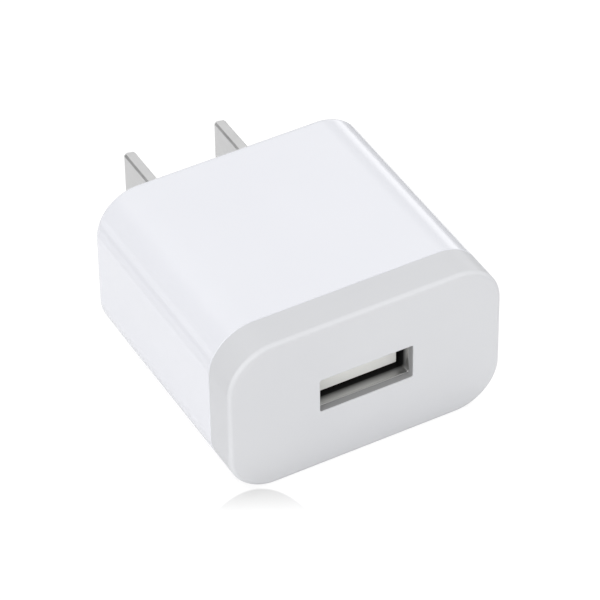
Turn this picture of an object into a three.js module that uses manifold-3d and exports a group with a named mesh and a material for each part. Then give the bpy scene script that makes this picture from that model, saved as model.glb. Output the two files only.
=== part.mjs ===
// USB wall charger: two fixed flat blades, a moulded case and one USB-A socket.
// Millimetres. +X runs across the blades, +Y points into the wall socket, +Z is up.
// The origin is at the centre of the wall face, midway between the two blades.
import * as THREE from 'three';
import { mergeVertices } from 'three/addons/utils/BufferGeometryUtils.js';
import Module from 'manifold-3d';

const wasm = await Module();
wasm.setup();

// Case
const CASE_WIDTH = 36.5;
const CASE_HEIGHT = 21.5;
const CASE_LENGTH = 34.1;
const CASE_CORNER = 6;
const SIDE_WALL = 1.6;
const WALL_END = 2;
const WALL_END_EDGE = 1;
const CAP_DEPTH = 4.9;
const CAP_EDGE = 0.6;
const CAP_PLATE = 1.65;
const SKIRT_DEPTH = 2.8;
const SKIRT_WALL = 1.1;
const SKIRT_GAP = 0.1;
const MOUTH_LIP = 1;
const MOUTH_GAP = 0.05;
const PORT_HEIGHT = 0.13;
const CRADLE_WALL = 0.9;
const CRADLE_DEPTH = 1.9;

// Blades, to the common two-blade plug standard
const BLADE_SPACING = 12.7;
const BLADE_WIDTH = 6.35;
const BLADE_THICKNESS = 1.5;
const BLADE_LENGTH = 14.7;
const BLADE_TIP_CHAMFER = 0.5;
const BLADE_TAIL = 5.6;
const BLADE_TAIL_WIDTH = 4.8;
const SHOULDER_WIDTH = 8.4;
const SHOULDER_START = 3.4;
const SHOULDER_END = 2.4;
const BLADE_FIT = 0.08;
const BLADE_NECK = { end: 0.1, relief: 0.05 };
const BOSS_DEPTH = 4.3;
const BOSS_WIDTH = 4;
const BOSS_HEIGHT = 10.4;

// Circuit board, whose lower face is the datum for everything fitted to it
const BOARD_BOTTOM = 3.05;
const BOARD_THICKNESS = 1.2;
const BOARD_WIDTH = 32.6;
const BOARD_NOSE_WIDTH = 29.8;
const BOARD_FRONT = -31.9;
const BOARD_STEP = -25.7;
const BOARD_REAR = -4.6;
const RAIL_FRONT = -25.9;
const RAIL_REACH = 1.2;
const RAIL_HEIGHT = 1;
const LEAD_DIAMETER = 0.6;
const LEAD_HOLE = 1.2;
const LEAD_RISE = 2;
const LEAD_ROOT = 0.5;
const FREE_GAP = 0.3;

// USB-A socket, measured from the back of the cap's plate; its shell's nose sits in a rebate behind the lip
const SOCKET_INNER_WIDTH = 12.5;
const SOCKET_INNER_HEIGHT = 4.85;
const SHELL_BEND = 0.25;
const SHELL_SHEET = 0.3;
const SHELL_NOSE = 0.6;
const SHELL_LENGTH = 12;
const SHELL_GAP = 0.05;
const SHELL_LEG = { start: 6.4, end: 8.4 };
const TONGUE_FRONT = 1.1;
const TONGUE_WIDTH = 11.1;
const TONGUE_BOTTOM = -1.93;
const TONGUE_TOP = -0.09;
const BLOCK_FRONT = 9.8;
const BLOCK_FIT = 0.08;
const CONTACTS = { power: -3.5, data_minus: -1, data_plus: 1, ground: 3.5 };
const CONTACT_WIDTH = 1;
const CONTACT_SHEET = 0.25;
const CONTACT_ROOT_Y = 9.7;
const CONTACT_ROOT_Z = -0.58;
const CONTACT_SPLIT = 0.15;
const CONTACT_SHOULDER = [7.9, -0.53];
const CONTACT_CREST = [[4.1, 0.23], [3.5, 0.3], [2.9, 0.15]];
const CONTACT_TIP = [2.1, -0.38];
const CONTACT_TAIL_Y = 12.4;
const CONTACT_HOLE = 1.7;
const GROOVE_WIDTH = 1.4;
const GROOVE_FRONT = 1.5;
const GROOVE_FLOOR = -1.28;
const CHANNEL_HEIGHT = 0.7;
const LATCH_OFFSET = 3;
const LATCH_WIDTH = 1.8;
const LATCH_SHEET = 0.24;
const LATCH_WINDOW = { width: 2.6, start: 3, end: 7.8 };
const LATCH_ROOT_Y = 7.65;
const LATCH_CREST_Y = 4.4;
const LATCH_TIP_Y = 3.3;
const UPPER_LATCH_REACH = 0.5;
const LOWER_LATCH_REACH = 0.3;
const LATCH_TIP_RELIEF = 0.17;

// Transformer, an EE13 core lying flat
const TRANSFORMER = { x: -8.6, y: -12.8, z: -3 };
const CORE_WIDTH = 13;
const CORE_HALF_LENGTH = 5.8;
const CORE_THICKNESS = 6;
const CORE_BACK = 1.4;
const CORE_WINDOW = 10;
const CORE_LEG = 2.8;
const CORE_FACE_GAP = 0.05;
const CORE_FIT = 0.15;
const BOBBIN_LENGTH = 8.4;
const BOBBIN_WALL = 0.7;
const BOBBIN_FLANGE = { width: 9.4, height: 9.8, thickness: 0.7 };
const BOBBIN_RAIL_WIDTH = 12.4;
const BOBBIN_RAIL_OVERHANG = 0.9;
const BOBBIN_PINS = [-4.5, -1.5, 1.5, 4.5];
const BOBBIN_PIN_Y = 4.8;
const WINDING = { width: 8.8, height: 9.2, length: 6.6, corner: 1.6 };
const WINDING_FIT = 0.1;
const TAPE = { gap: 0.1, film: 0.15, width: 3.8 };

// Other board parts: centres on the board, and sizes
const INPUT_CAPACITORS = [[3.6, -15.2], [11, -15.2]];
const INPUT_CAN = { diameter: 6.3, height: 11 };
const OUTPUT_CAPACITORS = [[-11.3, -27.3], [11.3, -27.3]];
const OUTPUT_CAN = { diameter: 6.3, height: 9 };
const CAN_PITCH = 2.5;
const CAN_STANDOFF = 0.2;
const CAN_RIM = 0.3;
const CAN_GROOVE = 0.4;
const CAN_GROOVE_DROP = 1.5;
const DISC = { x: 11.2, y: -21.6, z: -4, radius: 3.3, thickness: 2.6, taper: 0.9, pitch: 5 };
const FUSE = { x: 4, y: -10.2, z: -1.9, length: 6.2, diameter: 2.6, cap: 1.1, waist: 0.2, pitch: 8 };
const INDUCTOR = { x: 12.6, y: -8.8, diameter: 4.6, height: 6, flange: 1.1, waist: 0.4, pitch: 2.5 };
const BLADE_SPRING = { width: 3, sheet: 0.3, y: -6.35, bend: -2.2, crest: -3.1, heel: -5.2, foot: -5.9 };
const BLADE_SPRING_GAP = 0.03;
const BARRIER = { y: -19.3, sheet: 0.2, width: 29.6, top: -0.2, bottom: -11 };
const BARRIER_TAB = { width: 2.8, rise: 0.4, offset: 9 };
const SLOT_WIDTH = 0.9;

// Surface-mounted parts: centre on the board, body, and rows of flat leads, each [width, length]
const LEAD_FRAME = 0.25;
const PACKAGE_LIFT = 0.15;
const PACKAGES = {
  bridge_rectifier: { at: [3.9, -10.6], body: [4.7, 3.9, 2.5], rows: 2, pitch: 2.5, lead: [0.7, 6.6] },
  controller_chip: { at: [-8.6, -12.8], body: [4.9, 3.9, 1.6], rows: 4, pitch: 1.27, lead: [0.42, 6] },
  output_rectifier: { at: [-10.5, -22.4], body: [3.6, 4.3, 2.3], rows: 1, pitch: 0, lead: [2, 5.4] },
  snubber_diode: { at: [13.6, -18.2], body: [2.6, 4.3, 2.1], rows: 1, pitch: 0, lead: [1.5, 5] },
};
const CHIP_END = 0.4;
const CHIP_END_PROUD = 0.05;
const RESISTORS = [
  { at: [0, -17], size: [3.2, 1.6, 0.6] },
  { at: [-1.6, -23.6], size: [3.2, 1.6, 0.6] },
  { at: [2.6, -23.6], size: [2, 1.25, 0.5] },
];
const CERAMICS = [
  { at: [-5, -28], size: [2, 1.25, 0.9] },
  { at: [5, -28], size: [2, 1.25, 0.9] },
];

const GLOSS_WHITE = { color: 0xeceef2, roughness: 0.15, metalness: 0 };
const SATIN_GREY = { color: 0xd6d8dc, roughness: 0.45, metalness: 0 };
const NICKEL = { color: 0xc9c9c6, roughness: 0.28, metalness: 1 };
const TINNED_STEEL = { color: 0xb9babc, roughness: 0.32, metalness: 1 };
const GOLD = { color: 0xd8b25a, roughness: 0.25, metalness: 1 };
const WHITE_NYLON = { color: 0xf2f1ec, roughness: 0.5, metalness: 0 };
const BOARD_GREEN = { color: 0x2f6b3f, roughness: 0.5, metalness: 0 };
const CAN_SLEEVE = { color: 0x20242c, roughness: 0.4, metalness: 0 };
const CAN_SILVER = { color: 0xb8bcc2, roughness: 0.35, metalness: 0.8 };
const FERRITE = { color: 0x2b2b2d, roughness: 0.7, metalness: 0 };
const COPPER = { color: 0xb5652d, roughness: 0.35, metalness: 1 };
const YELLOW_TAPE = { color: 0xe6c23a, roughness: 0.4, metalness: 0 };
const BLACK_RESIN = { color: 0x1d1d1f, roughness: 0.55, metalness: 0 };
const DISC_BLUE = { color: 0x2c62a8, roughness: 0.45, metalness: 0 };
const FUSE_GREEN = { color: 0x5d8f62, roughness: 0.5, metalness: 0 };
const CERAMIC_TAN = { color: 0xb09a78, roughness: 0.6, metalness: 0 };
const FILM = { color: 0xe8e6dc, roughness: 0.4, metalness: 0 };

// Length by which a cutting tool or a joined piece runs past the face it meets
const OVERRUN = 1;

function toSolid(geometry) {
  const bare = geometry.clone();
  bare.deleteAttribute('normal');
  bare.deleteAttribute('uv');
  const merged = mergeVertices(bare);
  const position = merged.attributes.position;
  const corner = merged.index.array;
  const triangles = [];
  const [a, b, c] = [new THREE.Vector3(), new THREE.Vector3(), new THREE.Vector3()];
  let volume = 0;
  for (let i = 0; i < corner.length; i += 3) {
    const [p, q, r] = [corner[i], corner[i + 1], corner[i + 2]];
    if (p === q || q === r || r === p) continue;
    triangles.push([p, q, r]);
    a.fromBufferAttribute(position, p);
    b.fromBufferAttribute(position, q);
    c.fromBufferAttribute(position, r);
    volume += a.dot(b.cross(c));
  }
  const outward = volume > 0 ? triangles : triangles.map(([p, q, r]) => [p, r, q]);
  return new wasm.Manifold(new wasm.Mesh({
    numProp: 3,
    vertProperties: new Float32Array(position.array),
    triVerts: new Uint32Array(outward.flat()),
  }));
}

function toGeometry(solid) {
  const mesh = solid.getMesh();
  const geometry = new THREE.BufferGeometry();
  geometry.setAttribute('position', new THREE.BufferAttribute(new Float32Array(mesh.vertProperties), 3));
  geometry.setIndex(new THREE.BufferAttribute(new Uint32Array(mesh.triVerts), 1));
  geometry.computeVertexNormals();
  return geometry;
}

function join(...solids) {
  return solids.reduce((whole, piece) => whole.add(piece));
}

function cut(solid, ...tools) {
  return tools.reduce((whole, tool) => whole.subtract(tool), solid);
}

// A box between two values on each axis, given in either order.
function block(x0, x1, y0, y1, z0, z1) {
  const geometry = new THREE.BoxGeometry(Math.abs(x1 - x0), Math.abs(y1 - y0), Math.abs(z1 - z0));
  geometry.translate((x0 + x1) / 2, (y0 + y1) / 2, (z0 + z1) / 2);
  return toSolid(geometry);
}

function roundedRect(width, height, radius) {
  const x = width / 2 - radius;
  const z = height / 2 - radius;
  const quarter = Math.PI / 2;
  const shape = new THREE.Shape();
  shape.absarc(x, z, radius, 0, quarter);
  shape.absarc(-x, z, radius, quarter, 2 * quarter);
  shape.absarc(-x, -z, radius, 2 * quarter, 3 * quarter);
  shape.absarc(x, -z, radius, 3 * quarter, 4 * quarter);
  shape.closePath();
  return shape;
}

// An XZ outline swept along Y, with its end edges rounded by edge.
function alongY(shape, y0, y1, edge = 0, curveSegments = 10) {
  const geometry = new THREE.ExtrudeGeometry(shape, {
    depth: y1 - y0 - 2 * edge,
    curveSegments,
    bevelEnabled: edge > 0,
    bevelThickness: edge,
    bevelSize: edge,
    bevelOffset: -edge,
    bevelSegments: 3,
  });
  geometry.rotateX(Math.PI / 2);
  geometry.translate(0, y1 - edge, 0);
  return toSolid(geometry);
}

// A YZ outline swept along X.
function alongX(shape, x0, x1) {
  const geometry = new THREE.ExtrudeGeometry(shape, { depth: x1 - x0, bevelEnabled: false });
  geometry.applyMatrix4(new THREE.Matrix4().makeBasis(
    new THREE.Vector3(0, 1, 0),
    new THREE.Vector3(0, 0, 1),
    new THREE.Vector3(1, 0, 0),
  ));
  geometry.translate(x0, 0, 0);
  return toSolid(geometry);
}

// A round body on the Z axis from [radius, height] points, which start and end on the axis.
function turned(profile, segments = 20) {
  const points = profile.map(([radius, height]) => new THREE.Vector2(radius, height));
  const geometry = new THREE.LatheGeometry(points, segments);
  geometry.rotateX(Math.PI / 2);
  return toSolid(geometry);
}

function rod(x, y, z0, z1, diameter = LEAD_DIAMETER) {
  const radius = diameter / 2;
  return turned([[0, z0], [radius, z0], [radius, z1], [0, z1]], 8).translate([x, y, 0]);
}

// The outline of a thin sheet bent along a line of points.
function bentSheet(points, thickness) {
  const line = points.map(([u, v]) => new THREE.Vector2(u, v));
  const runs = line.slice(1).map((point, i) => point.clone().sub(line[i]).normalize());
  const edge = (half) => line.map((point, i) => {
    const before = runs[Math.max(i - 1, 0)];
    const after = runs[Math.min(i, runs.length - 1)];
    const mitre = new THREE.Vector2(-before.y - after.y, before.x + after.x);
    return point.clone().addScaledVector(mitre, half / (1 + before.dot(after)));
  });
  return new THREE.Shape([...edge(thickness / 2), ...edge(-thickness / 2).reverse()]);
}

function addPart(group, name, finish, solid, x = 0, y = 0, z = 0) {
  const mesh = new THREE.Mesh(toGeometry(solid), new THREE.MeshStandardMaterial(finish));
  mesh.name = name;
  mesh.position.set(x, y, z);
  group.add(mesh);
}

const innerWidth = CASE_WIDTH - 2 * SIDE_WALL;
const innerHeight = CASE_HEIGHT - 2 * SIDE_WALL;
const innerCorner = CASE_CORNER - SIDE_WALL;
const seamY = CAP_DEPTH - CASE_LENGTH;
const plateBackY = CAP_PLATE - CASE_LENGTH;
const socketY = plateBackY + SHELL_GAP;
const leadTop = BOARD_BOTTOM - PORT_HEIGHT + LEAD_RISE;
const bladeCentres = [-BLADE_SPACING / 2, BLADE_SPACING / 2];

// Case

// A blade's outline, grown by fit all round for the slot that holds it.
function bladeOutline(fit) {
  const half = BLADE_WIDTH / 2 + fit;
  const tail = BLADE_TAIL_WIDTH / 2 + fit;
  const shoulder = SHOULDER_WIDTH / 2 + fit;
  const tip = BLADE_LENGTH + fit;
  const upper = [
    [-BLADE_TAIL - fit, tail],
    [-SHOULDER_START - fit, tail],
    [-SHOULDER_START - fit, shoulder],
    [-SHOULDER_END + fit, shoulder],
    [-SHOULDER_END + fit, half],
    [tip - BLADE_TIP_CHAMFER, half],
    [tip, half - BLADE_TIP_CHAMFER],
  ];
  const lower = upper.map(([y, z]) => [y, -z]).reverse();
  return new THREE.Shape([...upper, ...lower].map(([y, z]) => new THREE.Vector2(y, z)));
}

// The part inside the case is a little thinner, so the contact faces end just clear of the wall face.
function makeBlade(fit = 0) {
  const half = BLADE_THICKNESS / 2 + fit;
  const inner = half - BLADE_NECK.relief;
  const reliefs = [-1, 1].map((side) => block(side * inner, side * (half + OVERRUN),
    -BLADE_TAIL - OVERRUN, BLADE_NECK.end - fit, -SHOULDER_WIDTH, SHOULDER_WIDTH));
  return cut(alongX(bladeOutline(fit), -half, half), ...reliefs);
}

function makeSleeve() {
  const outer = alongY(roundedRect(CASE_WIDTH, CASE_HEIGHT, CASE_CORNER), -CASE_LENGTH, 0, WALL_END_EDGE);
  const capEnd = block(-CASE_WIDTH, CASE_WIDTH, -CASE_LENGTH - OVERRUN, seamY, -CASE_WIDTH, CASE_WIDTH);
  const hollow = alongY(roundedRect(innerWidth, innerHeight, innerCorner), -CASE_LENGTH, -WALL_END);
  const inWall = -WALL_END / 2;
  const underBoard = BOARD_BOTTOM - FREE_GAP;
  const overBoard = BOARD_BOTTOM + BOARD_THICKNESS + FREE_GAP;
  const rails = [-1, 1].flatMap((side) => {
    const wall = side * (innerWidth + SIDE_WALL) / 2;
    const edge = side * (innerWidth / 2 - RAIL_REACH);
    return [
      block(wall, edge, RAIL_FRONT, inWall, underBoard - RAIL_HEIGHT, underBoard),
      block(wall, edge, RAIL_FRONT, inWall, overBoard, overBoard + RAIL_HEIGHT),
    ];
  });
  const bosses = bladeCentres.map((x) => block(x - BOSS_WIDTH / 2, x + BOSS_WIDTH / 2,
    -BOSS_DEPTH, inWall, -BOSS_HEIGHT / 2, BOSS_HEIGHT / 2));
  const slots = bladeCentres.map((x) => makeBlade(BLADE_FIT).translate([x, 0, 0]));
  return cut(join(cut(outer, capEnd, hollow), ...rails, ...bosses), ...slots);
}

function makeCap() {
  const outer = alongY(roundedRect(CASE_WIDTH, CASE_HEIGHT, CASE_CORNER), -CASE_LENGTH, 0, CAP_EDGE);
  const sleeveEnd = block(-CASE_WIDTH, CASE_WIDTH, seamY, OVERRUN, -CASE_WIDTH, CASE_WIDTH);
  const inside = (inset) => roundedRect(innerWidth - 2 * inset, innerHeight - 2 * inset, innerCorner - inset);
  const skirt = alongY(inside(SKIRT_GAP), plateBackY, seamY + SKIRT_DEPTH);
  const hollow = alongY(inside(SKIRT_GAP + SKIRT_WALL), plateBackY, 0);
  const lipBackY = MOUTH_LIP - CASE_LENGTH;
  const mouth = alongY(shellOutline(0), -CASE_LENGTH - OVERRUN, 0, 0, 3).translate([0, 0, PORT_HEIGHT]);
  const rebate = alongY(shellOutline(SHELL_SHEET + MOUTH_GAP), lipBackY, 0, 0, 3)
    .translate([0, 0, PORT_HEIGHT]);
  return cut(join(cut(join(cut(outer, sleeveEnd), skirt), hollow), makeCradle()), mouth, rebate);
}

// The open-topped frame behind the mouth that the socket's shell sits in.
function makeCradle() {
  const side = SOCKET_INNER_WIDTH / 2 + SHELL_SHEET + SKIRT_GAP;
  const floor = PORT_HEIGHT - SOCKET_INNER_HEIGHT / 2 - SHELL_SHEET - SKIRT_GAP;
  const top = BOARD_BOTTOM - FREE_GAP / 2;
  const rear = plateBackY + CRADLE_DEPTH;
  const outerSide = side + CRADLE_WALL;
  return cut(
    block(-outerSide, outerSide, plateBackY - CAP_PLATE / 2, rear, floor - CRADLE_WALL, top),
    block(-side, side, plateBackY, rear + OVERRUN, floor, top + OVERRUN),
  );
}

// USB-A socket, in its own frame: y = 0 is just behind the cap's plate, and z = 0 is mid-height.

// The inside of the shell in outline, grown all round.
function shellOutline(grow) {
  return roundedRect(SOCKET_INNER_WIDTH + 2 * grow, SOCKET_INNER_HEIGHT + 2 * grow, SHELL_BEND + grow);
}

function makeShell() {
  const [x, z] = [SOCKET_INNER_WIDTH / 2, SOCKET_INNER_HEIGHT / 2];
  const [outerX, outerZ] = [x + SHELL_SHEET, z + SHELL_SHEET];
  const tube = cut(
    alongY(shellOutline(SHELL_SHEET), -SHELL_NOSE, SHELL_LENGTH, 0, 3),
    alongY(shellOutline(0), -SHELL_NOSE - OVERRUN, SHELL_LENGTH + OVERRUN, 0, 3),
  );
  const { start, end } = SHELL_LEG;
  const legs = [-1, 1].map((side) => block(side * x, side * outerX, start, end, 0, leadTop));
  const windows = [-LATCH_OFFSET, LATCH_OFFSET].map((centre) => {
    const half = LATCH_WINDOW.width / 2;
    const reach = outerZ + OVERRUN;
    return block(centre - half, centre + half, LATCH_WINDOW.start, LATCH_WINDOW.end, -reach, reach);
  });
  return cut(join(tube, ...legs), ...windows);
}

function makeInsulator() {
  const x = SOCKET_INNER_WIDTH / 2 - BLOCK_FIT;
  const z = SOCKET_INNER_HEIGHT / 2 - BLOCK_FIT;
  const rear = block(-x, x, BLOCK_FRONT, SHELL_LENGTH, -z, z);
  const half = TONGUE_WIDTH / 2;
  const tongue = block(-half, half, TONGUE_FRONT, BLOCK_FRONT + OVERRUN, TONGUE_BOTTOM, TONGUE_TOP);
  const slotFloor = CONTACT_ROOT_Z - CHANNEL_HEIGHT / 2;
  const channels = Object.values(CONTACTS).flatMap((centre) => {
    const [x0, x1] = [centre - GROOVE_WIDTH / 2, centre + GROOVE_WIDTH / 2];
    return [
      block(x0, x1, GROOVE_FRONT, BLOCK_FRONT, GROOVE_FLOOR, TONGUE_TOP + OVERRUN),
      block(x0, x1, CONTACT_ROOT_Y, SHELL_LENGTH + OVERRUN, slotFloor, slotFloor + CHANNEL_HEIGHT),
    ];
  });
  return cut(join(rear, tongue), ...channels);
}

// The sprung end of a contact. It bends at its root, and its crest meets the plug.
function makeContactSpring() {
  const line = [[CONTACT_ROOT_Y, CONTACT_ROOT_Z], CONTACT_SHOULDER, ...CONTACT_CREST, CONTACT_TIP];
  return alongX(bentSheet(line, CONTACT_SHEET), -CONTACT_WIDTH / 2, CONTACT_WIDTH / 2);
}

function makeTerminal() {
  const start = [CONTACT_ROOT_Y + CONTACT_SPLIT, CONTACT_ROOT_Z];
  const line = [start, [CONTACT_TAIL_Y, CONTACT_ROOT_Z], [CONTACT_TAIL_Y, leadTop]];
  return alongX(bentSheet(line, CONTACT_SHEET), -CONTACT_WIDTH / 2, CONTACT_WIDTH / 2);
}

// A retention finger cut from the shell. It leans into the socket and grips the plug.
function makeLatch(side, reach) {
  const sheetMiddle = (SOCKET_INNER_HEIGHT + SHELL_SHEET) / 2;
  const line = [
    [LATCH_ROOT_Y, side * sheetMiddle],
    [LATCH_CREST_Y, side * (sheetMiddle - reach)],
    [LATCH_TIP_Y, side * (sheetMiddle - reach + LATCH_TIP_RELIEF)],
  ];
  return alongX(bentSheet(line, LATCH_SHEET), -LATCH_WIDTH / 2, LATCH_WIDTH / 2);
}

// Transformer, in its own frame: the centre of the core is at the origin.

function makeCoreHalf(end) {
  const half = CORE_WIDTH / 2;
  const back = CORE_HALF_LENGTH - CORE_BACK;
  const z = CORE_THICKNESS / 2;
  const leg = (x0, x1) => block(x0, x1, end * CORE_FACE_GAP, end * (back + CORE_BACK / 2), -z, z);
  return join(
    block(-half, half, end * back, end * CORE_HALF_LENGTH, -z, z),
    leg(-half, -CORE_WINDOW / 2),
    leg(CORE_WINDOW / 2, half),
    leg(-CORE_LEG / 2, CORE_LEG / 2),
  );
}

const bobbinHole = [CORE_LEG / 2 + CORE_FIT, CORE_THICKNESS / 2 + CORE_FIT];
const bobbinTube = bobbinHole.map((half) => half + BOBBIN_WALL);

function makeBobbin() {
  const half = BOBBIN_LENGTH / 2;
  const flangeBack = half - BOBBIN_FLANGE.thickness;
  const [flangeX, flangeZ] = [BOBBIN_FLANGE.width / 2, BOBBIN_FLANGE.height / 2];
  const [tubeX, tubeZ] = bobbinTube;
  const [holeX, holeZ] = bobbinHole;
  const railX = BOBBIN_RAIL_WIDTH / 2;
  const boardZ = BOARD_BOTTOM - TRANSFORMER.z;
  const railFloor = CORE_THICKNESS / 2 + FREE_GAP;
  const railEnd = BOBBIN_PIN_Y + BOBBIN_RAIL_OVERHANG;
  const body = [block(-tubeX, tubeX, -half, half, -tubeZ, tubeZ)];
  for (const end of [-1, 1]) {
    body.push(
      block(-flangeX, flangeX, end * half, end * flangeBack, -flangeZ, flangeZ),
      block(-railX, railX, end * railEnd, end * flangeBack, railFloor, boardZ - FREE_GAP),
      ...BOBBIN_PINS.map((x) => rod(x, end * BOBBIN_PIN_Y, railFloor + LEAD_ROOT, boardZ + LEAD_RISE)),
    );
  }
  return cut(join(...body), block(-holeX, holeX, -half - OVERRUN, half + OVERRUN, -holeZ, holeZ));
}

function makeWinding() {
  const half = WINDING.length / 2;
  const [x, z] = bobbinTube.map((side) => side + WINDING_FIT);
  const outer = alongY(roundedRect(WINDING.width, WINDING.height, WINDING.corner), -half, half, 0, 4);
  return cut(outer, block(-x, x, -half - OVERRUN, half + OVERRUN, -z, z));
}

function makeCoreTape() {
  const [x, y] = [CORE_WIDTH / 2 + TAPE.gap, CORE_HALF_LENGTH + TAPE.gap];
  const [outerX, outerY] = [x + TAPE.film, y + TAPE.film];
  const z = TAPE.width / 2;
  return cut(block(-outerX, outerX, -outerY, outerY, -z, z), block(-x, x, -y, y, -z - OVERRUN, z + OVERRUN));
}

// Board parts, each in its own frame: z = 0 is the lower face of the board, and leads point up.

// Two leads that rise through the board, spaced across it or along it.
function leadPair(pitch, root, alongBoard = false) {
  return [-pitch / 2, pitch / 2].map((reach) => {
    const [x, y] = alongBoard ? [0, reach] : [reach, 0];
    return rod(x, y, root, LEAD_RISE);
  });
}

function makeCan(can, alongBoard) {
  const radius = can.diameter / 2;
  const top = -CAN_STANDOFF;
  const bottom = top - can.height;
  const grooveZ = top - CAN_GROOVE_DROP;
  const body = turned([
    [0, bottom],
    [radius - CAN_RIM, bottom],
    [radius, bottom + CAN_RIM],
    [radius, grooveZ - CAN_GROOVE],
    [radius - CAN_RIM, grooveZ],
    [radius, grooveZ + CAN_GROOVE],
    [radius, top - CAN_RIM],
    [radius - CAN_RIM, top],
    [0, top],
  ]);
  return join(body, ...leadPair(CAN_PITCH, top - LEAD_ROOT, alongBoard));
}

function makeDiscCapacitor() {
  const half = DISC.thickness / 2;
  const flat = DISC.radius - DISC.taper;
  const disc = turned([
    [0, -half],
    [flat, -half],
    [DISC.radius, -half / 3],
    [DISC.radius, half / 3],
    [flat, half],
    [0, half],
  ]);
  return join(disc.rotate([90, 0, 0]).translate([0, 0, DISC.z]), ...leadPair(DISC.pitch, DISC.z));
}

// A round body with a cap at each end and a thinner waist, from z0 up to z1.
function spool(z0, z1, diameter, cap, waist) {
  const radius = diameter / 2;
  const thin = radius - waist;
  return turned([
    [0, z0],
    [radius, z0],
    [radius, z0 + cap],
    [thin, z0 + cap + waist],
    [thin, z1 - cap - waist],
    [radius, z1 - cap],
    [radius, z1],
    [0, z1],
  ]);
}

function makeFuseResistor() {
  const half = FUSE.length / 2;
  const body = spool(-half, half, FUSE.diameter, FUSE.cap, FUSE.waist);
  const wire = rod(0, 0, -FUSE.pitch / 2, FUSE.pitch / 2);
  const lying = join(body, wire).rotate([0, 90, 0]).translate([0, 0, FUSE.z]);
  return join(lying, ...leadPair(FUSE.pitch, FUSE.z - LEAD_DIAMETER / 2));
}

function makeInductor() {
  const top = -FREE_GAP;
  const body = spool(top - INDUCTOR.height, top, INDUCTOR.diameter, INDUCTOR.flange, INDUCTOR.waist);
  return join(body, ...leadPair(INDUCTOR.pitch, top - LEAD_ROOT, true));
}

// A sprung strip that stands through the board and bows towards the blade's inner end.
function makeBladeSpring() {
  const half = BLADE_SPRING.width / 2;
  const bow = -BLADE_TAIL - BLADE_SPRING.y - BLADE_SPRING.sheet / 2 - BLADE_SPRING_GAP;
  const line = [
    [0, LEAD_RISE],
    [0, BLADE_SPRING.bend],
    [bow, BLADE_SPRING.crest],
    [0, BLADE_SPRING.heel],
    [0, BLADE_SPRING.foot],
  ];
  return alongX(bentSheet(line, BLADE_SPRING.sheet), -half, half);
}

// A moulded package on the upper face, with rows of flat leads that run right through it.
function makePackage({ body, rows, pitch, lead }) {
  const [width, depth, height] = body;
  const [leadHalf, reach] = lead.map((side) => side / 2);
  const floor = BOARD_THICKNESS;
  const leads = Array.from({ length: rows }, (_, i) => {
    const x = (i - (rows - 1) / 2) * pitch;
    return block(x - leadHalf, x + leadHalf, -reach, reach, floor, floor + LEAD_FRAME);
  });
  const resin = block(-width / 2, width / 2, -depth / 2, depth / 2, floor + PACKAGE_LIFT, floor + height);
  return join(resin, ...leads);
}

function makeChip([length, width, height]) {
  const [floor, top] = [BOARD_THICKNESS, BOARD_THICKNESS + height];
  const [x, y] = [length / 2, width / 2];
  const inner = x - CHIP_END;
  return join(
    block(-inner, inner, -y, y, floor + CHIP_END_PROUD, top - CHIP_END_PROUD),
    block(-x, -inner, -y, y, floor, top),
    block(inner, x, -y, y, floor, top),
  );
}

function makeBarrier() {
  const half = BARRIER.sheet / 2;
  const wide = BARRIER.width / 2;
  const tabHalf = BARRIER_TAB.width / 2;
  const [tabRoot, tabTop] = [BARRIER.top - OVERRUN, BOARD_THICKNESS + BARRIER_TAB.rise];
  const tabs = [-BARRIER_TAB.offset, BARRIER_TAB.offset].map((x) => block(x - tabHalf, x + tabHalf,
    -half, half, tabRoot, tabTop));
  return join(block(-wide, wide, -half, half, BARRIER.bottom, BARRIER.top), ...tabs);
}

function makeBoard() {
  const [wide, nose] = [BOARD_WIDTH / 2, BOARD_NOSE_WIDTH / 2];
  const plate = join(
    block(-wide, wide, BOARD_STEP, BOARD_REAR, 0, BOARD_THICKNESS),
    block(-nose, nose, BOARD_FRONT, BOARD_STEP + OVERRUN, 0, BOARD_THICKNESS),
  );
  const [below, above] = [-OVERRUN, BOARD_THICKNESS + OVERRUN];
  const round = (x, y, diameter = LEAD_HOLE) => rod(x, y, below, above, diameter);
  const slot = (x, y, dx, dy) => block(x - dx / 2, x + dx / 2, y - dy / 2, y + dy / 2, below, above);
  const legX = (SOCKET_INNER_WIDTH + SHELL_SHEET) / 2;
  const legY = socketY + (SHELL_LEG.start + SHELL_LEG.end) / 2;
  const legLength = SHELL_LEG.end - SHELL_LEG.start + 2 * FREE_GAP;
  const holes = Object.values(CONTACTS).map((x) => round(x, socketY + CONTACT_TAIL_Y, CONTACT_HOLE));
  for (const side of [-1, 1]) {
    const reach = side * CAN_PITCH / 2;
    holes.push(
      slot(side * legX, legY, SLOT_WIDTH, legLength),
      slot(side * BLADE_SPACING / 2, BLADE_SPRING.y, BLADE_SPRING.width + 2 * FREE_GAP, SLOT_WIDTH),
      slot(side * BARRIER_TAB.offset, BARRIER.y, BARRIER_TAB.width + 2 * FREE_GAP, SLOT_WIDTH),
      ...BOBBIN_PINS.map((x) => round(TRANSFORMER.x + x, TRANSFORMER.y + side * BOBBIN_PIN_Y)),
      ...INPUT_CAPACITORS.map(([x, y]) => round(x + reach, y)),
      ...OUTPUT_CAPACITORS.map(([x, y]) => round(x, y + reach)),
      round(DISC.x + side * DISC.pitch / 2, DISC.y),
      round(FUSE.x + side * FUSE.pitch / 2, FUSE.y),
      round(INDUCTOR.x, INDUCTOR.y + side * INDUCTOR.pitch / 2),
    );
  }
  return cut(plate, ...holes);
}

// Assembly

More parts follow.
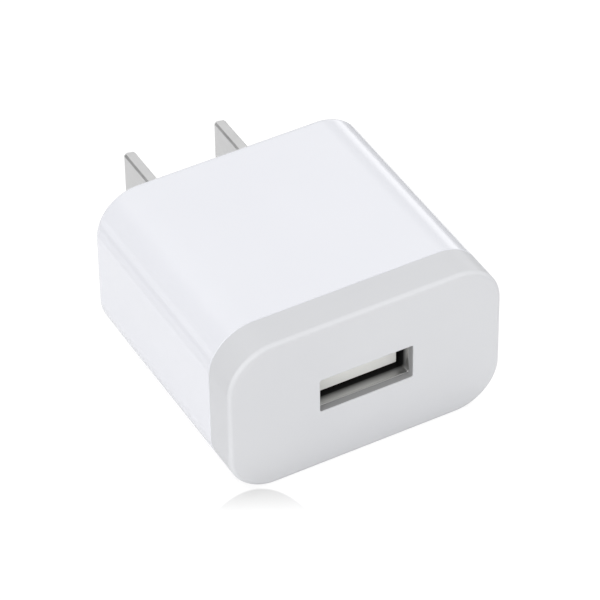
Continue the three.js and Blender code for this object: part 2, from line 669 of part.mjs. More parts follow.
const charger = new THREE.Group();
const housing = new THREE.Group();
const board = new THREE.Group();
const socket = new THREE.Group();
const transformer = new THREE.Group();
board.position.z = BOARD_BOTTOM;
socket.position.set(0, socketY, PORT_HEIGHT);
transformer.position.set(TRANSFORMER.x, TRANSFORMER.y, TRANSFORMER.z);
charger.add(housing, board, socket, transformer);

addPart(housing, 'housing_sleeve', GLOSS_WHITE, makeSleeve());
addPart(housing, 'front_cap', SATIN_GREY, makeCap());
addPart(housing, 'blade_left', NICKEL, makeBlade(), bladeCentres[0]);
addPart(housing, 'blade_right', NICKEL, makeBlade(), bladeCentres[1]);

addPart(socket, 'usb_shell', TINNED_STEEL, makeShell());
addPart(socket, 'usb_insulator', WHITE_NYLON, makeInsulator());
for (const [name, x] of Object.entries(CONTACTS)) {
  addPart(socket, `contact_spring_${name}`, GOLD, makeContactSpring(), x);
  addPart(socket, `contact_terminal_${name}`, GOLD, makeTerminal(), x);
}
for (const [side, x] of [['left', -LATCH_OFFSET], ['right', LATCH_OFFSET]]) {
  addPart(socket, `upper_latch_${side}`, TINNED_STEEL, makeLatch(1, UPPER_LATCH_REACH), x);
  addPart(socket, `lower_latch_${side}`, TINNED_STEEL, makeLatch(-1, LOWER_LATCH_REACH), x);
}

addPart(transformer, 'core_half_front', FERRITE, makeCoreHalf(-1));
addPart(transformer, 'core_half_rear', FERRITE, makeCoreHalf(1));
addPart(transformer, 'transformer_bobbin', BLACK_RESIN, makeBobbin());
addPart(transformer, 'transformer_winding', COPPER, makeWinding());
addPart(transformer, 'core_tape', YELLOW_TAPE, makeCoreTape());

addPart(board, 'main_board', BOARD_GREEN, makeBoard());
INPUT_CAPACITORS.forEach((at, i) => {
  addPart(board, `input_capacitor_${i + 1}`, CAN_SLEEVE, makeCan(INPUT_CAN, false), ...at);
});
OUTPUT_CAPACITORS.forEach((at, i) => {
  addPart(board, `output_capacitor_${i + 1}`, CAN_SILVER, makeCan(OUTPUT_CAN, true), ...at);
});
addPart(board, 'barrier_capacitor', DISC_BLUE, makeDiscCapacitor(), DISC.x, DISC.y);
addPart(board, 'fuse_resistor', FUSE_GREEN, makeFuseResistor(), FUSE.x, FUSE.y);
addPart(board, 'filter_inductor', BLACK_RESIN, makeInductor(), INDUCTOR.x, INDUCTOR.y);
addPart(board, 'blade_spring_left', NICKEL, makeBladeSpring(), bladeCentres[0], BLADE_SPRING.y);
addPart(board, 'blade_spring_right', NICKEL, makeBladeSpring(), bladeCentres[1], BLADE_SPRING.y);
addPart(board, 'insulation_barrier', FILM, makeBarrier(), 0, BARRIER.y);
for (const [name, chip] of Object.entries(PACKAGES)) {
  addPart(board, name, BLACK_RESIN, makePackage(chip), ...chip.at);
}
RESISTORS.forEach(({ at, size }, i) => {
  addPart(board, `chip_resistor_${i + 1}`, BLACK_RESIN, makeChip(size), ...at);
});
CERAMICS.forEach(({ at, size }, i) => {
  addPart(board, `chip_capacitor_${i + 1}`, CERAMIC_TAN, makeChip(size), ...at);
});

export default charger;
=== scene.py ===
import math

import bmesh
import bpy
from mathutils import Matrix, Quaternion, Vector


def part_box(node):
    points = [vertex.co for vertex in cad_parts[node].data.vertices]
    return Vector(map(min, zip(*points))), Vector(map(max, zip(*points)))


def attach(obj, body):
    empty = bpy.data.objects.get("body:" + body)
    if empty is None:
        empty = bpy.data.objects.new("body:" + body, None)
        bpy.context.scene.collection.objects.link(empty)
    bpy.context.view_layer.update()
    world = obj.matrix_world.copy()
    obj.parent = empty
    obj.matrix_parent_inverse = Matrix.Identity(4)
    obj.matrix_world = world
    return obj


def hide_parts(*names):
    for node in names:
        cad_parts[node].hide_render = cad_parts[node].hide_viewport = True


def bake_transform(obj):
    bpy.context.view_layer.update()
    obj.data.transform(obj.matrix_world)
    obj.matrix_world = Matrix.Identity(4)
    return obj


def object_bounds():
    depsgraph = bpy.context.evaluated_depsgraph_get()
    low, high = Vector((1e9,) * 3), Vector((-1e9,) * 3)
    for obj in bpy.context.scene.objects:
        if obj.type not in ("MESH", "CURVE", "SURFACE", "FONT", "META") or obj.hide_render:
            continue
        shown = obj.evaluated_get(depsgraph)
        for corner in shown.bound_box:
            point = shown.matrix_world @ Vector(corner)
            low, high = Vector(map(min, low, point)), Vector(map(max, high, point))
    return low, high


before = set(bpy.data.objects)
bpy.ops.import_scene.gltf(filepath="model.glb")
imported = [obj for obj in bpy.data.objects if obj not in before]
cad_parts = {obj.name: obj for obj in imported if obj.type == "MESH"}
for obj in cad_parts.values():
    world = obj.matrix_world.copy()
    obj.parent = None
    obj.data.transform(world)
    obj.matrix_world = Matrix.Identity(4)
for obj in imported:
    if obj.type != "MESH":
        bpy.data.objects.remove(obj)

MM = 0.001
cad_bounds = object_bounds()
scene = bpy.context.scene

# ---------------- Camera
# A long lens on a stand, set above the charger's socket end and a little to its left.
# It looks down at the top, the left side and the socket face, and leans by less than a degree.

CAMERA_AZIMUTH = math.radians(-28.57)
CAMERA_ELEVATION = math.radians(40.78)
CAMERA_LEAN = math.radians(-0.852)
CAMERA_AIM = Vector((-3.82, -25.0, 7.15)) * MM
CAMERA_DISTANCE = 455.1 * MM
CAMERA_LENS = 233.7
CAMERA_NEAR = 10 * MM
CAMERA_FAR = 20

towards_camera = Vector((
    math.sin(CAMERA_AZIMUTH) * math.cos(CAMERA_ELEVATION),
    -math.cos(CAMERA_AZIMUTH) * math.cos(CAMERA_ELEVATION),
    math.sin(CAMERA_ELEVATION),
))
camera_data = bpy.data.cameras.new("camera")
camera_data.lens = CAMERA_LENS
camera_data.clip_start = CAMERA_NEAR
camera_data.clip_end = CAMERA_FAR
camera = bpy.data.objects.new("camera", camera_data)
camera.location = CAMERA_AIM + towards_camera * CAMERA_DISTANCE
camera.rotation_mode = "QUATERNION"
camera.rotation_quaternion = (-towards_camera).to_track_quat("-Z", "Y") @ Quaternion((0, 0, 1), CAMERA_LEAN)
scene.collection.objects.link(camera)
scene.camera = camera

# ---------------- Housing sleeve
# The deep white moulding that is most of the case: a rounded tube, closed at the wall end.
# Polished ABS, injection moulded in one piece with the board's rails and the bosses that hold the blades.

CORNER_STEPS = 24
EDGE_STEPS = 6
CASE_CORNER = 6 * MM
SIDE_WALL = 1.6 * MM
WALL_END = 2 * MM
WALL_END_EDGE = 1 * MM
SEAM_EDGE = 0.09 * MM
RAIL_HEIGHT = 1 * MM
RAIL_REACH = 1.2 * MM
RAIL_GAP = 0.3 * MM
BOSS_DEPTH = 4.3 * MM
BOSS_HEIGHT = 10.4 * MM
BOSS_WIDTH = 4 * MM
RAIL_START = 3.3 * MM
BLADE_FIT = 0.08 * MM
NOISE_SPAN = (0.3, 0.7)

sleeve_low, sleeve_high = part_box("housing_sleeve")
case_width = sleeve_high.x - sleeve_low.x
case_height = sleeve_high.z - sleeve_low.z
seam_y = sleeve_low.y


def rounded_ring(width, height, corner, y, z=0.0, steps=CORNER_STEPS):
    """Points of a rounded rectangle that stands across the case at y."""
    points = []
    for quarter, (side_x, side_z) in enumerate(((1, 1), (-1, 1), (-1, -1), (1, -1))):
        centre_x = side_x * (width / 2 - corner)
        centre_z = z + side_z * (height / 2 - corner)
        for step in range(steps + 1):
            angle = math.pi / 2 * (quarter + step / steps)
            points.append(Vector((
                centre_x + corner * math.cos(angle),
                y,
                centre_z + corner * math.sin(angle),
            )))
    return points


def case_ring(inset, y):
    """The case's outline, made smaller by inset all round."""
    return rounded_ring(case_width - 2 * inset, case_height - 2 * inset, CASE_CORNER - inset, y)


def rounded_edge(ring, radius, y_from, y_to):
    """Rings that turn a quarter round from the side wall at y_from to the end face at y_to."""
    turns = [math.pi / 2 * step / EDGE_STEPS for step in range(EDGE_STEPS + 1)]
    return [
        ring(radius * (1 - math.cos(turn)), y_from + (y_to - y_from) * math.sin(turn))
        for turn in turns
    ]


def lofted(name, rings, closed=False):
    """A skin through rings of equal length. It ends in a flat face each way, or closes on itself."""
    mesh = bmesh.new()
    rows = [[mesh.verts.new(point) for point in ring] for ring in rings]
    count = len(rows[0])
    pairs = list(zip(rows, rows[1:]))
    if closed:
        pairs.append((rows[-1], rows[0]))
    else:
        mesh.faces.new(rows[0])
        mesh.faces.new(rows[-1])
    for row, following in pairs:
        for i in range(count):
            j = (i + 1) % count
            mesh.faces.new((row[i], row[j], following[j], following[i]))
    bmesh.ops.remove_doubles(mesh, verts=mesh.verts, dist=1e-7)
    bmesh.ops.recalc_face_normals(mesh, faces=mesh.faces)
    return to_object(name, mesh)


def to_object(name, mesh):
    data = bpy.data.meshes.new(name)
    mesh.to_mesh(data)
    mesh.free()
    piece = bpy.data.objects.new(name, data)
    scene.collection.objects.link(piece)
    return piece


def block(x0, x1, y0, y1, z0, z1):
    """A square-edged cutting or joining tool between two values on each axis."""
    corners = [(x, y, z) for x in (x0, x1) for y in (y0, y1) for z in (z0, z1)]
    mesh = bmesh.new()
    verts = [mesh.verts.new(corner) for corner in corners]
    for face in ((0, 1, 3, 2), (4, 6, 7, 5), (0, 4, 5, 1), (2, 3, 7, 6), (0, 2, 6, 4), (1, 5, 7, 3)):
        mesh.faces.new([verts[i] for i in face])
    bmesh.ops.recalc_face_normals(mesh, faces=mesh.faces)
    return to_object("tool", mesh)


def applied(piece):
    """Keeps the shape that the piece's modifiers give, and drops the modifiers."""
    shape = piece.evaluated_get(bpy.context.evaluated_depsgraph_get())
    data = bpy.data.meshes.new_from_object(shape)
    piece.modifiers.clear()
    piece.data = data
    data.name = piece.name
    return piece


def combined(piece, operation, tools):
    """Joins the tools to the piece (UNION), or cuts them out of it (DIFFERENCE)."""
    for tool in tools:
        boolean = piece.modifiers.new("combine", "BOOLEAN")
        boolean.operation = operation
        boolean.solver = "EXACT"
        boolean.object = tool
    applied(piece)
    for tool in tools:
        bpy.data.objects.remove(tool)
    return piece


def smoothed(piece, sharp_angle=30):
    """Smooth shading that keeps flat faces flat and edges above sharp_angle crisp."""
    piece.data.shade_smooth()
    piece.data.set_sharp_from_angle(angle=math.radians(sharp_angle))
    weighted = piece.modifiers.new("flat_faces", "WEIGHTED_NORMAL")
    weighted.keep_sharp = True
    return piece


def edges_broken(piece, width, segments):
    bevel = piece.modifiers.new("broken_edges", "BEVEL")
    bevel.width = width
    bevel.segments = segments
    bevel.limit_method = "ANGLE"
    bevel.angle_limit = math.radians(40)


def fitted(piece, body, nodes, material=None):
    """The piece takes its material, rides on its body and stands for its CAD nodes."""
    if material:
        piece.data.materials.clear()
        piece.data.materials.append(material)
    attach(piece, body)
    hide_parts(*nodes)
    return piece


def shader_group(name, inputs, outputs):
    """An empty node group with number inputs and the given outputs."""
    group = bpy.data.node_groups.new(name, "ShaderNodeTree")
    for label, value in inputs.items():
        group.interface.new_socket(label, in_out="INPUT", socket_type="NodeSocketFloat").default_value = value
    for label in outputs:
        group.interface.new_socket(label, in_out="OUTPUT", socket_type="NodeSocketFloat")
    return group, group.nodes.new("NodeGroupInput"), group.nodes.new("NodeGroupOutput")


def feed(tree, socket, value):
    """A socket takes a fixed value, or the output of another node."""
    if isinstance(value, bpy.types.NodeSocket):
        tree.links.new(value, socket)
    else:
        socket.default_value = value


def object_place(tree):
    return tree.nodes.new("ShaderNodeTexCoord").outputs["Object"]


def place_along(tree, axis):
    """How far along one of the object's own axes a point lies, in metres."""
    split = tree.nodes.new("ShaderNodeSeparateXYZ")
    tree.links.new(object_place(tree), split.inputs["Vector"])
    return split.outputs[axis]


def ranged(tree, value, span, results=(0, 1), smooth=False):
    """A value's span, spread between two results."""
    node = tree.nodes.new("ShaderNodeMapRange")
    node.interpolation_type = "SMOOTHSTEP" if smooth else "LINEAR"
    labels = ("Value", "From Min", "From Max", "To Min", "To Max")
    for label, number in zip(labels, (value, *span, *results)):
        feed(tree, node.inputs[label], number)
    return node.outputs["Result"]


def noise(tree, coordinates, scale, detail):
    texture = tree.nodes.new("ShaderNodeTexNoise")
    texture.inputs["Detail"].default_value = detail
    feed(tree, texture.inputs["Vector"], coordinates)
    feed(tree, texture.inputs["Scale"], scale)
    return texture.outputs["Fac"]


def make_moulding_group():
    """Moulded plastic: fine grain from the tool's surface, and broad, faint flow marks."""
    group, values, results = shader_group(
        "moulded_surface", {"Grain Scale": 4000, "Flow Scale": 60}, ("Grain", "Flow"))
    place = object_place(group)
    grain = noise(group, place, values.outputs["Grain Scale"], 3)
    flow = noise(group, place, values.outputs["Flow Scale"], 2)
    group.links.new(grain, results.inputs["Grain"])
    group.links.new(flow, results.inputs["Flow"])
    return group


def new_material(name):
    material = bpy.data.materials.new(name)
    material.use_nodes = True
    return material, material.node_tree, material.node_tree.nodes["Principled BSDF"]


def placed(tree, group, **values):
    """A node group in a material, with its own values."""
    node = tree.nodes.new("ShaderNodeGroup")
    node.node_tree = group
    for label, value in values.items():
        node.inputs[label.replace("_", " ")].default_value = value
    return node


def varied_colour(tree, mask, first, second):
    """A colour that drifts between two near shades over the mask's middle range."""
    ramp = tree.nodes.new("ShaderNodeValToRGB")
    for stop, position, colour in zip(ramp.color_ramp.elements, NOISE_SPAN, (first, second)):
        stop.position = position
        stop.color = (*colour, 1)
    tree.links.new(mask, ramp.inputs["Fac"])
    return ramp.outputs["Color"]


def bumped(tree, shader, height, depth, strength):
    """Relief from a height mask, depth metres deep."""
    bump = tree.nodes.new("ShaderNodeBump")
    bump.inputs["Distance"].default_value = depth
    bump.inputs["Strength"].default_value = strength
    tree.links.new(height, bump.inputs["Height"])
    tree.links.new(bump.outputs["Normal"], shader.inputs["Normal"])


moulded_surface = make_moulding_group()


def plastic(name, shades, roughness, grain, depth, strength=0.4, ior=1.52):
    """Moulded plastic between two near shades, with a grain and a roughness range."""
    material, tree, shader = new_material(name)
    surface = placed(tree, moulded_surface, Grain_Scale=grain, Flow_Scale=70)
    tree.links.new(varied_colour(tree, surface.outputs["Flow"], *shades), shader.inputs["Base Color"])
    tree.links.new(ranged(tree, surface.outputs["Grain"], NOISE_SPAN, roughness), shader.inputs["Roughness"])
    bumped(tree, shader, surface.outputs["Grain"], depth, strength)
    shader.inputs["IOR"].default_value = ior
    return material


def make_sleeve():
    inner_side = case_width / 2 - SIDE_WALL
    floor_y = sleeve_high.y - WALL_END
    rings = [
        case_ring(SIDE_WALL, floor_y),
        case_ring(SIDE_WALL, seam_y),
        case_ring(SEAM_EDGE, seam_y),
        case_ring(0, seam_y + SEAM_EDGE),
    ]
    rings += rounded_edge(case_ring, WALL_END_EDGE, sleeve_high.y - WALL_END_EDGE, sleeve_high.y)
    piece = lofted("housing_sleeve_shell", rings)
    board_low, board_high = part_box("main_board")
    in_wall = sleeve_high.y - WALL_END / 2
    extras = []
    for side in (-1, 1):
        reach = sorted((side * (inner_side + SIDE_WALL / 2), side * (inner_side - RAIL_REACH)))
        for z in (board_low.z - RAIL_GAP - RAIL_HEIGHT, board_high.z + RAIL_GAP):
            extras.append(block(*reach, seam_y + RAIL_START, in_wall, z, z + RAIL_HEIGHT))
    for blade in ("blade_left", "blade_right"):
        low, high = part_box(blade)
        middle = (low.x + high.x) / 2
        extras.append(block(middle - BOSS_WIDTH / 2, middle + BOSS_WIDTH / 2, -BOSS_DEPTH, in_wall,
                            -BOSS_HEIGHT / 2, BOSS_HEIGHT / 2))
    combined(piece, "UNION", extras)
    return piece


sleeve_plastic = plastic(
    "polished_white_plastic",
    shades=((0.788, 0.797, 0.842), (0.800, 0.808, 0.853)),
    roughness=(0.07, 0.12), grain=5000, depth=0.002 * MM, strength=0.12, ior=1.58)
sleeve = make_sleeve()
blade_middles = [
    (low.x + high.x) / 2 for low, high in (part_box("blade_left"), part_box("blade_right"))
]

# ---------------- Blades
# Two flat prongs of nickel-plated brass, stamped from strip with their long edges and tips chamfered.
# Each has a shoulder that locks it in its boss, and a tail that a spring on the board presses on.

BLADE_WIDTH = 6.35 * MM
BLADE_THICKNESS = 1.5 * MM
BLADE_NECK = 1.4 * MM
BLADE_CHAMFER = 0.24 * MM
BLADE_NECK_END = 0.1 * MM
BLADE_SHOULDER = 8.4 * MM
BLADE_SHOULDER_SPAN = (-3.4 * MM, -2.4 * MM)
BLADE_TAIL_WIDTH = 4.8 * MM
BLADE_TIP_LENGTH = 0.75 * MM
BLADE_TIP_DROP = 0.5 * MM
BLADE_TIP_THICKNESS = 0.8 * MM
LINE_STRETCH = (1, 0.04, 1)


def blade_section(middle, thickness, width, y, grow=0.0):
    chamfer = BLADE_CHAMFER
    ring = rounded_ring(thickness + 2 * grow, width + 2 * grow, chamfer, y, steps=1)
    return [point + Vector((middle, 0, 0)) for point in ring]


def blade_rings(middle, tail_y, tip_y, grow=0.0):
    shoulder_start, shoulder_end = BLADE_SHOULDER_SPAN
    neck = BLADE_NECK
    sections = [
        (neck, BLADE_TAIL_WIDTH, tail_y - grow),
        (neck, BLADE_TAIL_WIDTH, shoulder_start - grow),
        (neck, BLADE_SHOULDER, shoulder_start - grow),
        (neck, BLADE_SHOULDER, shoulder_end + grow),
        (neck, BLADE_WIDTH, shoulder_end + grow),
        (neck, BLADE_WIDTH, BLADE_NECK_END),
        (BLADE_THICKNESS, BLADE_WIDTH, BLADE_NECK_END),
        (BLADE_THICKNESS, BLADE_WIDTH, tip_y - BLADE_TIP_LENGTH),
        (BLADE_TIP_THICKNESS, BLADE_WIDTH - 2 * BLADE_TIP_DROP, tip_y),
    ]
    return [blade_section(middle, *section, grow=grow) for section in sections]


def make_edge_group():
    """Rolled and plated metal: fine rolling lines along one axis, and small pits and dull patches."""
    group, values, results = shader_group(
        "rolled_metal", {"Line Scale": 900, "Patch Scale": 300}, ("Lines", "Patches"))
    place = object_place(group)
    stretch = group.nodes.new("ShaderNodeMapping")
    stretch.inputs["Scale"].default_value = LINE_STRETCH
    group.links.new(place, stretch.inputs["Vector"])
    lines = noise(group, stretch.outputs["Vector"], values.outputs["Line Scale"], 4)
    patches = noise(group, place, values.outputs["Patch Scale"], 3)
    group.links.new(lines, results.inputs["Lines"])
    group.links.new(patches, results.inputs["Patches"])
    return group


rolled_metal = make_edge_group()


def plated(name, shades, roughness, lines, depth, strength=0.3):
    """Plated sheet metal between two near shades, with rolling lines and dull patches."""
    material, tree, shader = new_material(name)
    surface = placed(tree, rolled_metal, Line_Scale=lines, Patch_Scale=500)
    tree.links.new(varied_colour(tree, surface.outputs["Patches"], *shades), shader.inputs["Base Color"])
    dullness = ranged(tree, surface.outputs["Patches"], NOISE_SPAN, roughness)
    tree.links.new(dullness, shader.inputs["Roughness"])
    bumped(tree, shader, surface.outputs["Lines"], depth, strength)
    shader.inputs["Metallic"].default_value = 1
    return material


blade_nickel = plated(
    "satin_nickel", shades=((0.64, 0.64, 0.64), (0.71, 0.71, 0.71)),
    roughness=(0.34, 0.46), lines=2500, depth=0.004 * MM)

blade_slots = []
for name, middle in zip(("blade_left", "blade_right"), blade_middles):
    low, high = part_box(name)
    blade = lofted(f"{name}_prong", blade_rings(middle, low.y, high.y))
    smoothed(blade)
    fitted(blade, "case", [name], blade_nickel)
    blade_slots.append(lofted("tool", blade_rings(middle, low.y, high.y, BLADE_FIT)))

# The sleeve's slots follow the blades.
combined(sleeve, "DIFFERENCE", blade_slots)
smoothed(sleeve)
fitted(sleeve, "case", ["housing_sleeve"], sleeve_plastic)

# ---------------- Front cap
# The satin light grey end cap: a plate with the socket's mouth, and a skirt that is welded inside the sleeve.
# One ABS moulding with a fine spark-eroded texture. The nose of the socket's shell sits in a rebate behind
# the mouth's lip, and a low frame behind the plate holds the shell.

CAP_EDGE = 0.6 * MM
CAP_PLATE = 1.65 * MM
SKIRT_GAP = 0.1 * MM
SKIRT_WALL = 1.1 * MM
SKIRT_LEAD = 0.3 * MM
SHEET = 0.3 * MM
SHELL_BEND = 0.25 * MM
MOUTH_LIP = 1 * MM
MOUTH_GAP = 0.05 * MM
MOUTH_EDGE = 0.14 * MM
PORT_HEIGHT = 0.13 * MM
CRADLE_WALL = 0.9 * MM
CRADLE_DEPTH = 1.9 * MM
CRADLE_GAP = 0.1 * MM
BOARD_GAP = 0.15 * MM
# Where the painted highlight on the front fillet starts and ends, and how much it lightens the colour.
RIM_START = (0.03 * MM, 0.14 * MM)
RIM_END = 0.4 * MM
RIM_HIGHLIGHT_TINT = 1.06
# How far the mouth's painted shade reaches: in from the shell's outline, and back past the lip.
MOUTH_MARGIN = 0.02 * MM
LIP_MARGIN = 0.1 * MM

cap_low, cap_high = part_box("front_cap")
shell_low, shell_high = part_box("usb_shell")
shell_width = shell_high.x - shell_low.x
shell_height = 2 * (PORT_HEIGHT - shell_low.z)
front_y = cap_low.y
plate_back_y = front_y + CAP_PLATE


def shell_ring(inset, y, steps=CORNER_STEPS):
    """The shell's outline, made smaller by inset all round."""
    corner = SHELL_BEND + SHEET - inset
    return rounded_ring(shell_width - 2 * inset, shell_height - 2 * inset, corner, y, PORT_HEIGHT, steps)


def mouth_ring(grow, y):
    return shell_ring(SHEET - grow, y)


def make_depth_group():
    """A mask that goes from 0 at one depth to 1 at another, measured along the case in metres."""
    group, values, results = shader_group("depth_along_case", {"From": 0, "To": 1}, ("Mask",))
    fade = ranged(group, place_along(group, "Y"), (values.outputs["From"], values.outputs["To"]))
    group.links.new(fade, results.inputs["Mask"])
    return group


depth_along_case = make_depth_group()


def calculated(tree, operation, first, second):
    """One sum on two values, each a number or another node's output."""
    node = tree.nodes.new("ShaderNodeMath")
    node.operation = operation
    feed(tree, node.inputs[0], first)
    feed(tree, node.inputs[1], second)
    return node.outputs["Value"]


def depth_mask(tree, start, end):
    return placed(tree, depth_along_case, From=start, To=end).outputs["Mask"]


def recoloured(tree, mask, colour, blend_type="MIX"):
    """Where the mask is 1 the material's colour turns to another, or is multiplied by it."""
    blend = tree.nodes.new("ShaderNodeMix")
    blend.data_type = "RGBA"
    blend.blend_type = blend_type
    blend.inputs["B"].default_value = (*colour, 1)
    base = tree.nodes["Principled BSDF"].inputs["Base Color"]
    plain = base.links[0].from_socket
    tree.links.new(mask, blend.inputs["Factor"])
    tree.links.new(plain, blend.inputs["A"])
    tree.links.new(blend.outputs["Result"], base)


def within_shell(face, inset):
    """Whether a face lies inside the shell's outline made smaller by inset."""
    x, _, z = face.center
    return abs(x) < shell_width / 2 - inset and abs(z - PORT_HEIGHT) < shell_height / 2 - inset


def make_cap():
    skirt_outer = SIDE_WALL + SKIRT_GAP
    skirt_inner = skirt_outer + SKIRT_WALL
    rings = [case_ring(SEAM_EDGE, seam_y), case_ring(0, seam_y - SEAM_EDGE)]
    rings += rounded_edge(case_ring, CAP_EDGE, front_y + CAP_EDGE, front_y)
    rings += reversed(rounded_edge(mouth_ring, MOUTH_EDGE, front_y + MOUTH_EDGE, front_y))
    rings += [
        mouth_ring(0, front_y + MOUTH_LIP),
        shell_ring(-MOUTH_GAP, front_y + MOUTH_LIP),
        shell_ring(-MOUTH_GAP, plate_back_y),
        case_ring(skirt_inner, plate_back_y),
        case_ring(skirt_inner, cap_high.y),
        case_ring(skirt_outer + SKIRT_LEAD, cap_high.y),
        case_ring(skirt_outer, cap_high.y - SKIRT_LEAD),
        case_ring(skirt_outer, seam_y),
    ]
    piece = lofted("front_cap_shell", rings, closed=True)
    rear = plate_back_y + CRADLE_DEPTH
    side = shell_high.x + CRADLE_GAP
    floor = shell_low.z - CRADLE_GAP
    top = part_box("main_board")[0].z - BOARD_GAP
    cradle = block(-side - CRADLE_WALL, side + CRADLE_WALL, plate_back_y - CAP_PLATE / 2, rear,
                   floor - CRADLE_WALL, top)
    room = block(-side, side, plate_back_y, rear + MM, floor, top + MM)
    combined(cradle, "DIFFERENCE", [room])
    rebate = lofted("tool", [shell_ring(-MOUTH_GAP, front_y - MM), shell_ring(-MOUTH_GAP, rear)])
    combined(cradle, "DIFFERENCE", [rebate])
    return combined(piece, "UNION", [cradle])


cap_plastic = plastic(
    "satin_grey_plastic",
    shades=((0.628, 0.634, 0.655), (0.642, 0.648, 0.667)),
    roughness=(0.34, 0.44), grain=9000, depth=0.006 * MM, strength=0.35)
# A darker copy of the grey plastic for the sides of the mouth: painted shade for the recess.
mouth_painted_shade_plastic = plastic(
    "grey_plastic_mouth_painted_shade",
    shades=((0.36, 0.36, 0.365), (0.39, 0.39, 0.395)),
    roughness=(0.5, 0.6), grain=9000, depth=0.01 * MM)


def paint_rim_highlight():
    """A painted highlight: the colour of the small fillet round the front is made lighter than the face."""
    tree = cap_plastic.node_tree
    start = depth_mask(tree, front_y + RIM_START[0], front_y + RIM_START[1])
    end = depth_mask(tree, front_y + CAP_EDGE, front_y + RIM_END)
    recoloured(tree, calculated(tree, "MULTIPLY", start, end), (RIM_HIGHLIGHT_TINT, RIM_HIGHLIGHT_TINT, RIM_HIGHLIGHT_TINT), "MULTIPLY")


paint_rim_highlight()
cap = make_cap()
fitted(cap, "case", ["front_cap"], cap_plastic)
# Faces inside the mouth, behind its rounded edge, take the darker copy: painted shade.
cap.data.materials.append(mouth_painted_shade_plastic)
for face in cap.data.polygons:
    past_edge = front_y + MOUTH_EDGE < face.center.y < front_y + MOUTH_LIP + LIP_MARGIN
    if past_edge and within_shell(face, SHEET - MOUTH_MARGIN):
        face.material_index = 1
smoothed(cap)

# ---------------- Socket shell
# The USB-A socket's shell: 0.3 mm tinned steel folded into a box, with four windows and two solder legs.
# The windows are where its four retention fingers were cut free and bent inwards.

SHELL_EDGE = 0.06 * MM
# The painted shade inside the shell: where it starts and ends along the shell, its tint, and its specular
# level.
PAINTED_SHADE_SPAN = (0.1 * MM, 1.35 * MM)
PAINTED_SHADE_TINT = 0.02
PAINTED_SHADE_SPECULAR = 0.1
CUT_SPAN = (0.1 * MM, 0.16 * MM)
CUT_TINT = 0.65
LEG_SPAN = (6.4 * MM, 8.4 * MM)
WINDOW_WIDTH = 2.6 * MM
WINDOW_SPAN = (3.0 * MM, 7.8 * MM)
FINGER_OFFSET = 3 * MM
SOCKET_GAP = 0.05 * MM

socket_y = plate_back_y + SOCKET_GAP
shell_front = shell_low.y
shell_rear = shell_high.y


def make_shell():
    rings = [
        shell_ring(inset, y, steps=6) for inset, y in (
            (SHELL_EDGE, shell_front), (0, shell_front + SHELL_EDGE),
            (0, shell_rear - SHELL_EDGE), (SHELL_EDGE, shell_rear),
            (SHEET - SHELL_EDGE, shell_rear), (SHEET, shell_rear - SHELL_EDGE),
            (SHEET, shell_front + SHELL_EDGE), (SHEET - SHELL_EDGE, shell_front),
        )
    ]
    piece = lofted("usb_shell_sheet", rings, closed=True)
    outer_x = shell_width / 2
    legs = []
    for side in (-1, 1):
        reach = sorted((side * outer_x, side * (outer_x - SHEET)))
        legs.append(block(*reach, socket_y + LEG_SPAN[0], socket_y + LEG_SPAN[1], PORT_HEIGHT, shell_high.z))
    combined(piece, "UNION", legs)
    windows = [
        block(x - WINDOW_WIDTH / 2, x + WINDOW_WIDTH / 2,
              socket_y + WINDOW_SPAN[0], socket_y + WINDOW_SPAN[1],
              PORT_HEIGHT - shell_height, PORT_HEIGHT + shell_height)
        for x in (-FINGER_OFFSET, FINGER_OFFSET)
    ]
    return combined(piece, "DIFFERENCE", windows)


shell_steel = plated(
    "tinned_steel", shades=((0.58, 0.58, 0.57), (0.66, 0.66, 0.65)),
    roughness=(0.3, 0.42), lines=3000, depth=0.003 * MM)
painted_shade_steel = plated(
    "tinned_steel_inside_painted_shade", shades=((0.64, 0.64, 0.63), (0.74, 0.74, 0.73)),
    roughness=(0.34, 0.46), lines=3000, depth=0.003 * MM)
steel_tree = painted_shade_steel.node_tree
steel_shader = steel_tree.nodes["Principled BSDF"]
# Inside the shell the colour fades to near black and stops being metal with depth: painted shade for the dark
# inside of the socket.
painted_shade_start, painted_shade_end = (shell_front + depth for depth in PAINTED_SHADE_SPAN)
painted_shade = depth_mask(steel_tree, painted_shade_start, painted_shade_end)
sheared_edge = depth_mask(steel_tree, shell_front + CUT_SPAN[1], shell_front + CUT_SPAN[0])
unshaded_metal = depth_mask(steel_tree, painted_shade_end, painted_shade_start)
recoloured(steel_tree, painted_shade, (PAINTED_SHADE_TINT, PAINTED_SHADE_TINT, PAINTED_SHADE_TINT), "MULTIPLY")
recoloured(steel_tree, sheared_edge, (CUT_TINT, CUT_TINT, CUT_TINT), "MULTIPLY")
steel_tree.links.new(unshaded_metal, steel_shader.inputs["Metallic"])
steel_shader.inputs["Specular IOR Level"].default_value = PAINTED_SHADE_SPECULAR
shell = make_shell()
fitted(shell, "case", ["usb_shell"], shell_steel)
shell.data.materials.append(painted_shade_steel)
for face in shell.data.polygons:
    face.material_index = int(within_shell(face, SHEET - SHELL_EDGE))
smoothed(shell)

# ---------------- Retention fingers
# Four spring fingers of the shell's own sheet, two above the plug's nose and two below.
# Each bends at its root in the shell and its rounded crest grips the plug.

FINGER_SHEET = 0.24 * MM
FINGER_WIDTH = 1.8 * MM
FINGER_ROOT = 7.65 * MM
FINGER_CREST = 4.4 * MM
FINGER_TIP = 3.3 * MM
FINGER_REACH = {"upper": 0.5 * MM, "lower": 0.3 * MM}
FINGER_TIP_RELIEF = 0.17 * MM
FINGER_BEND = 0.9 * MM
STRIP_CHAMFER = 0.03 * MM
BEND_STEPS = 5


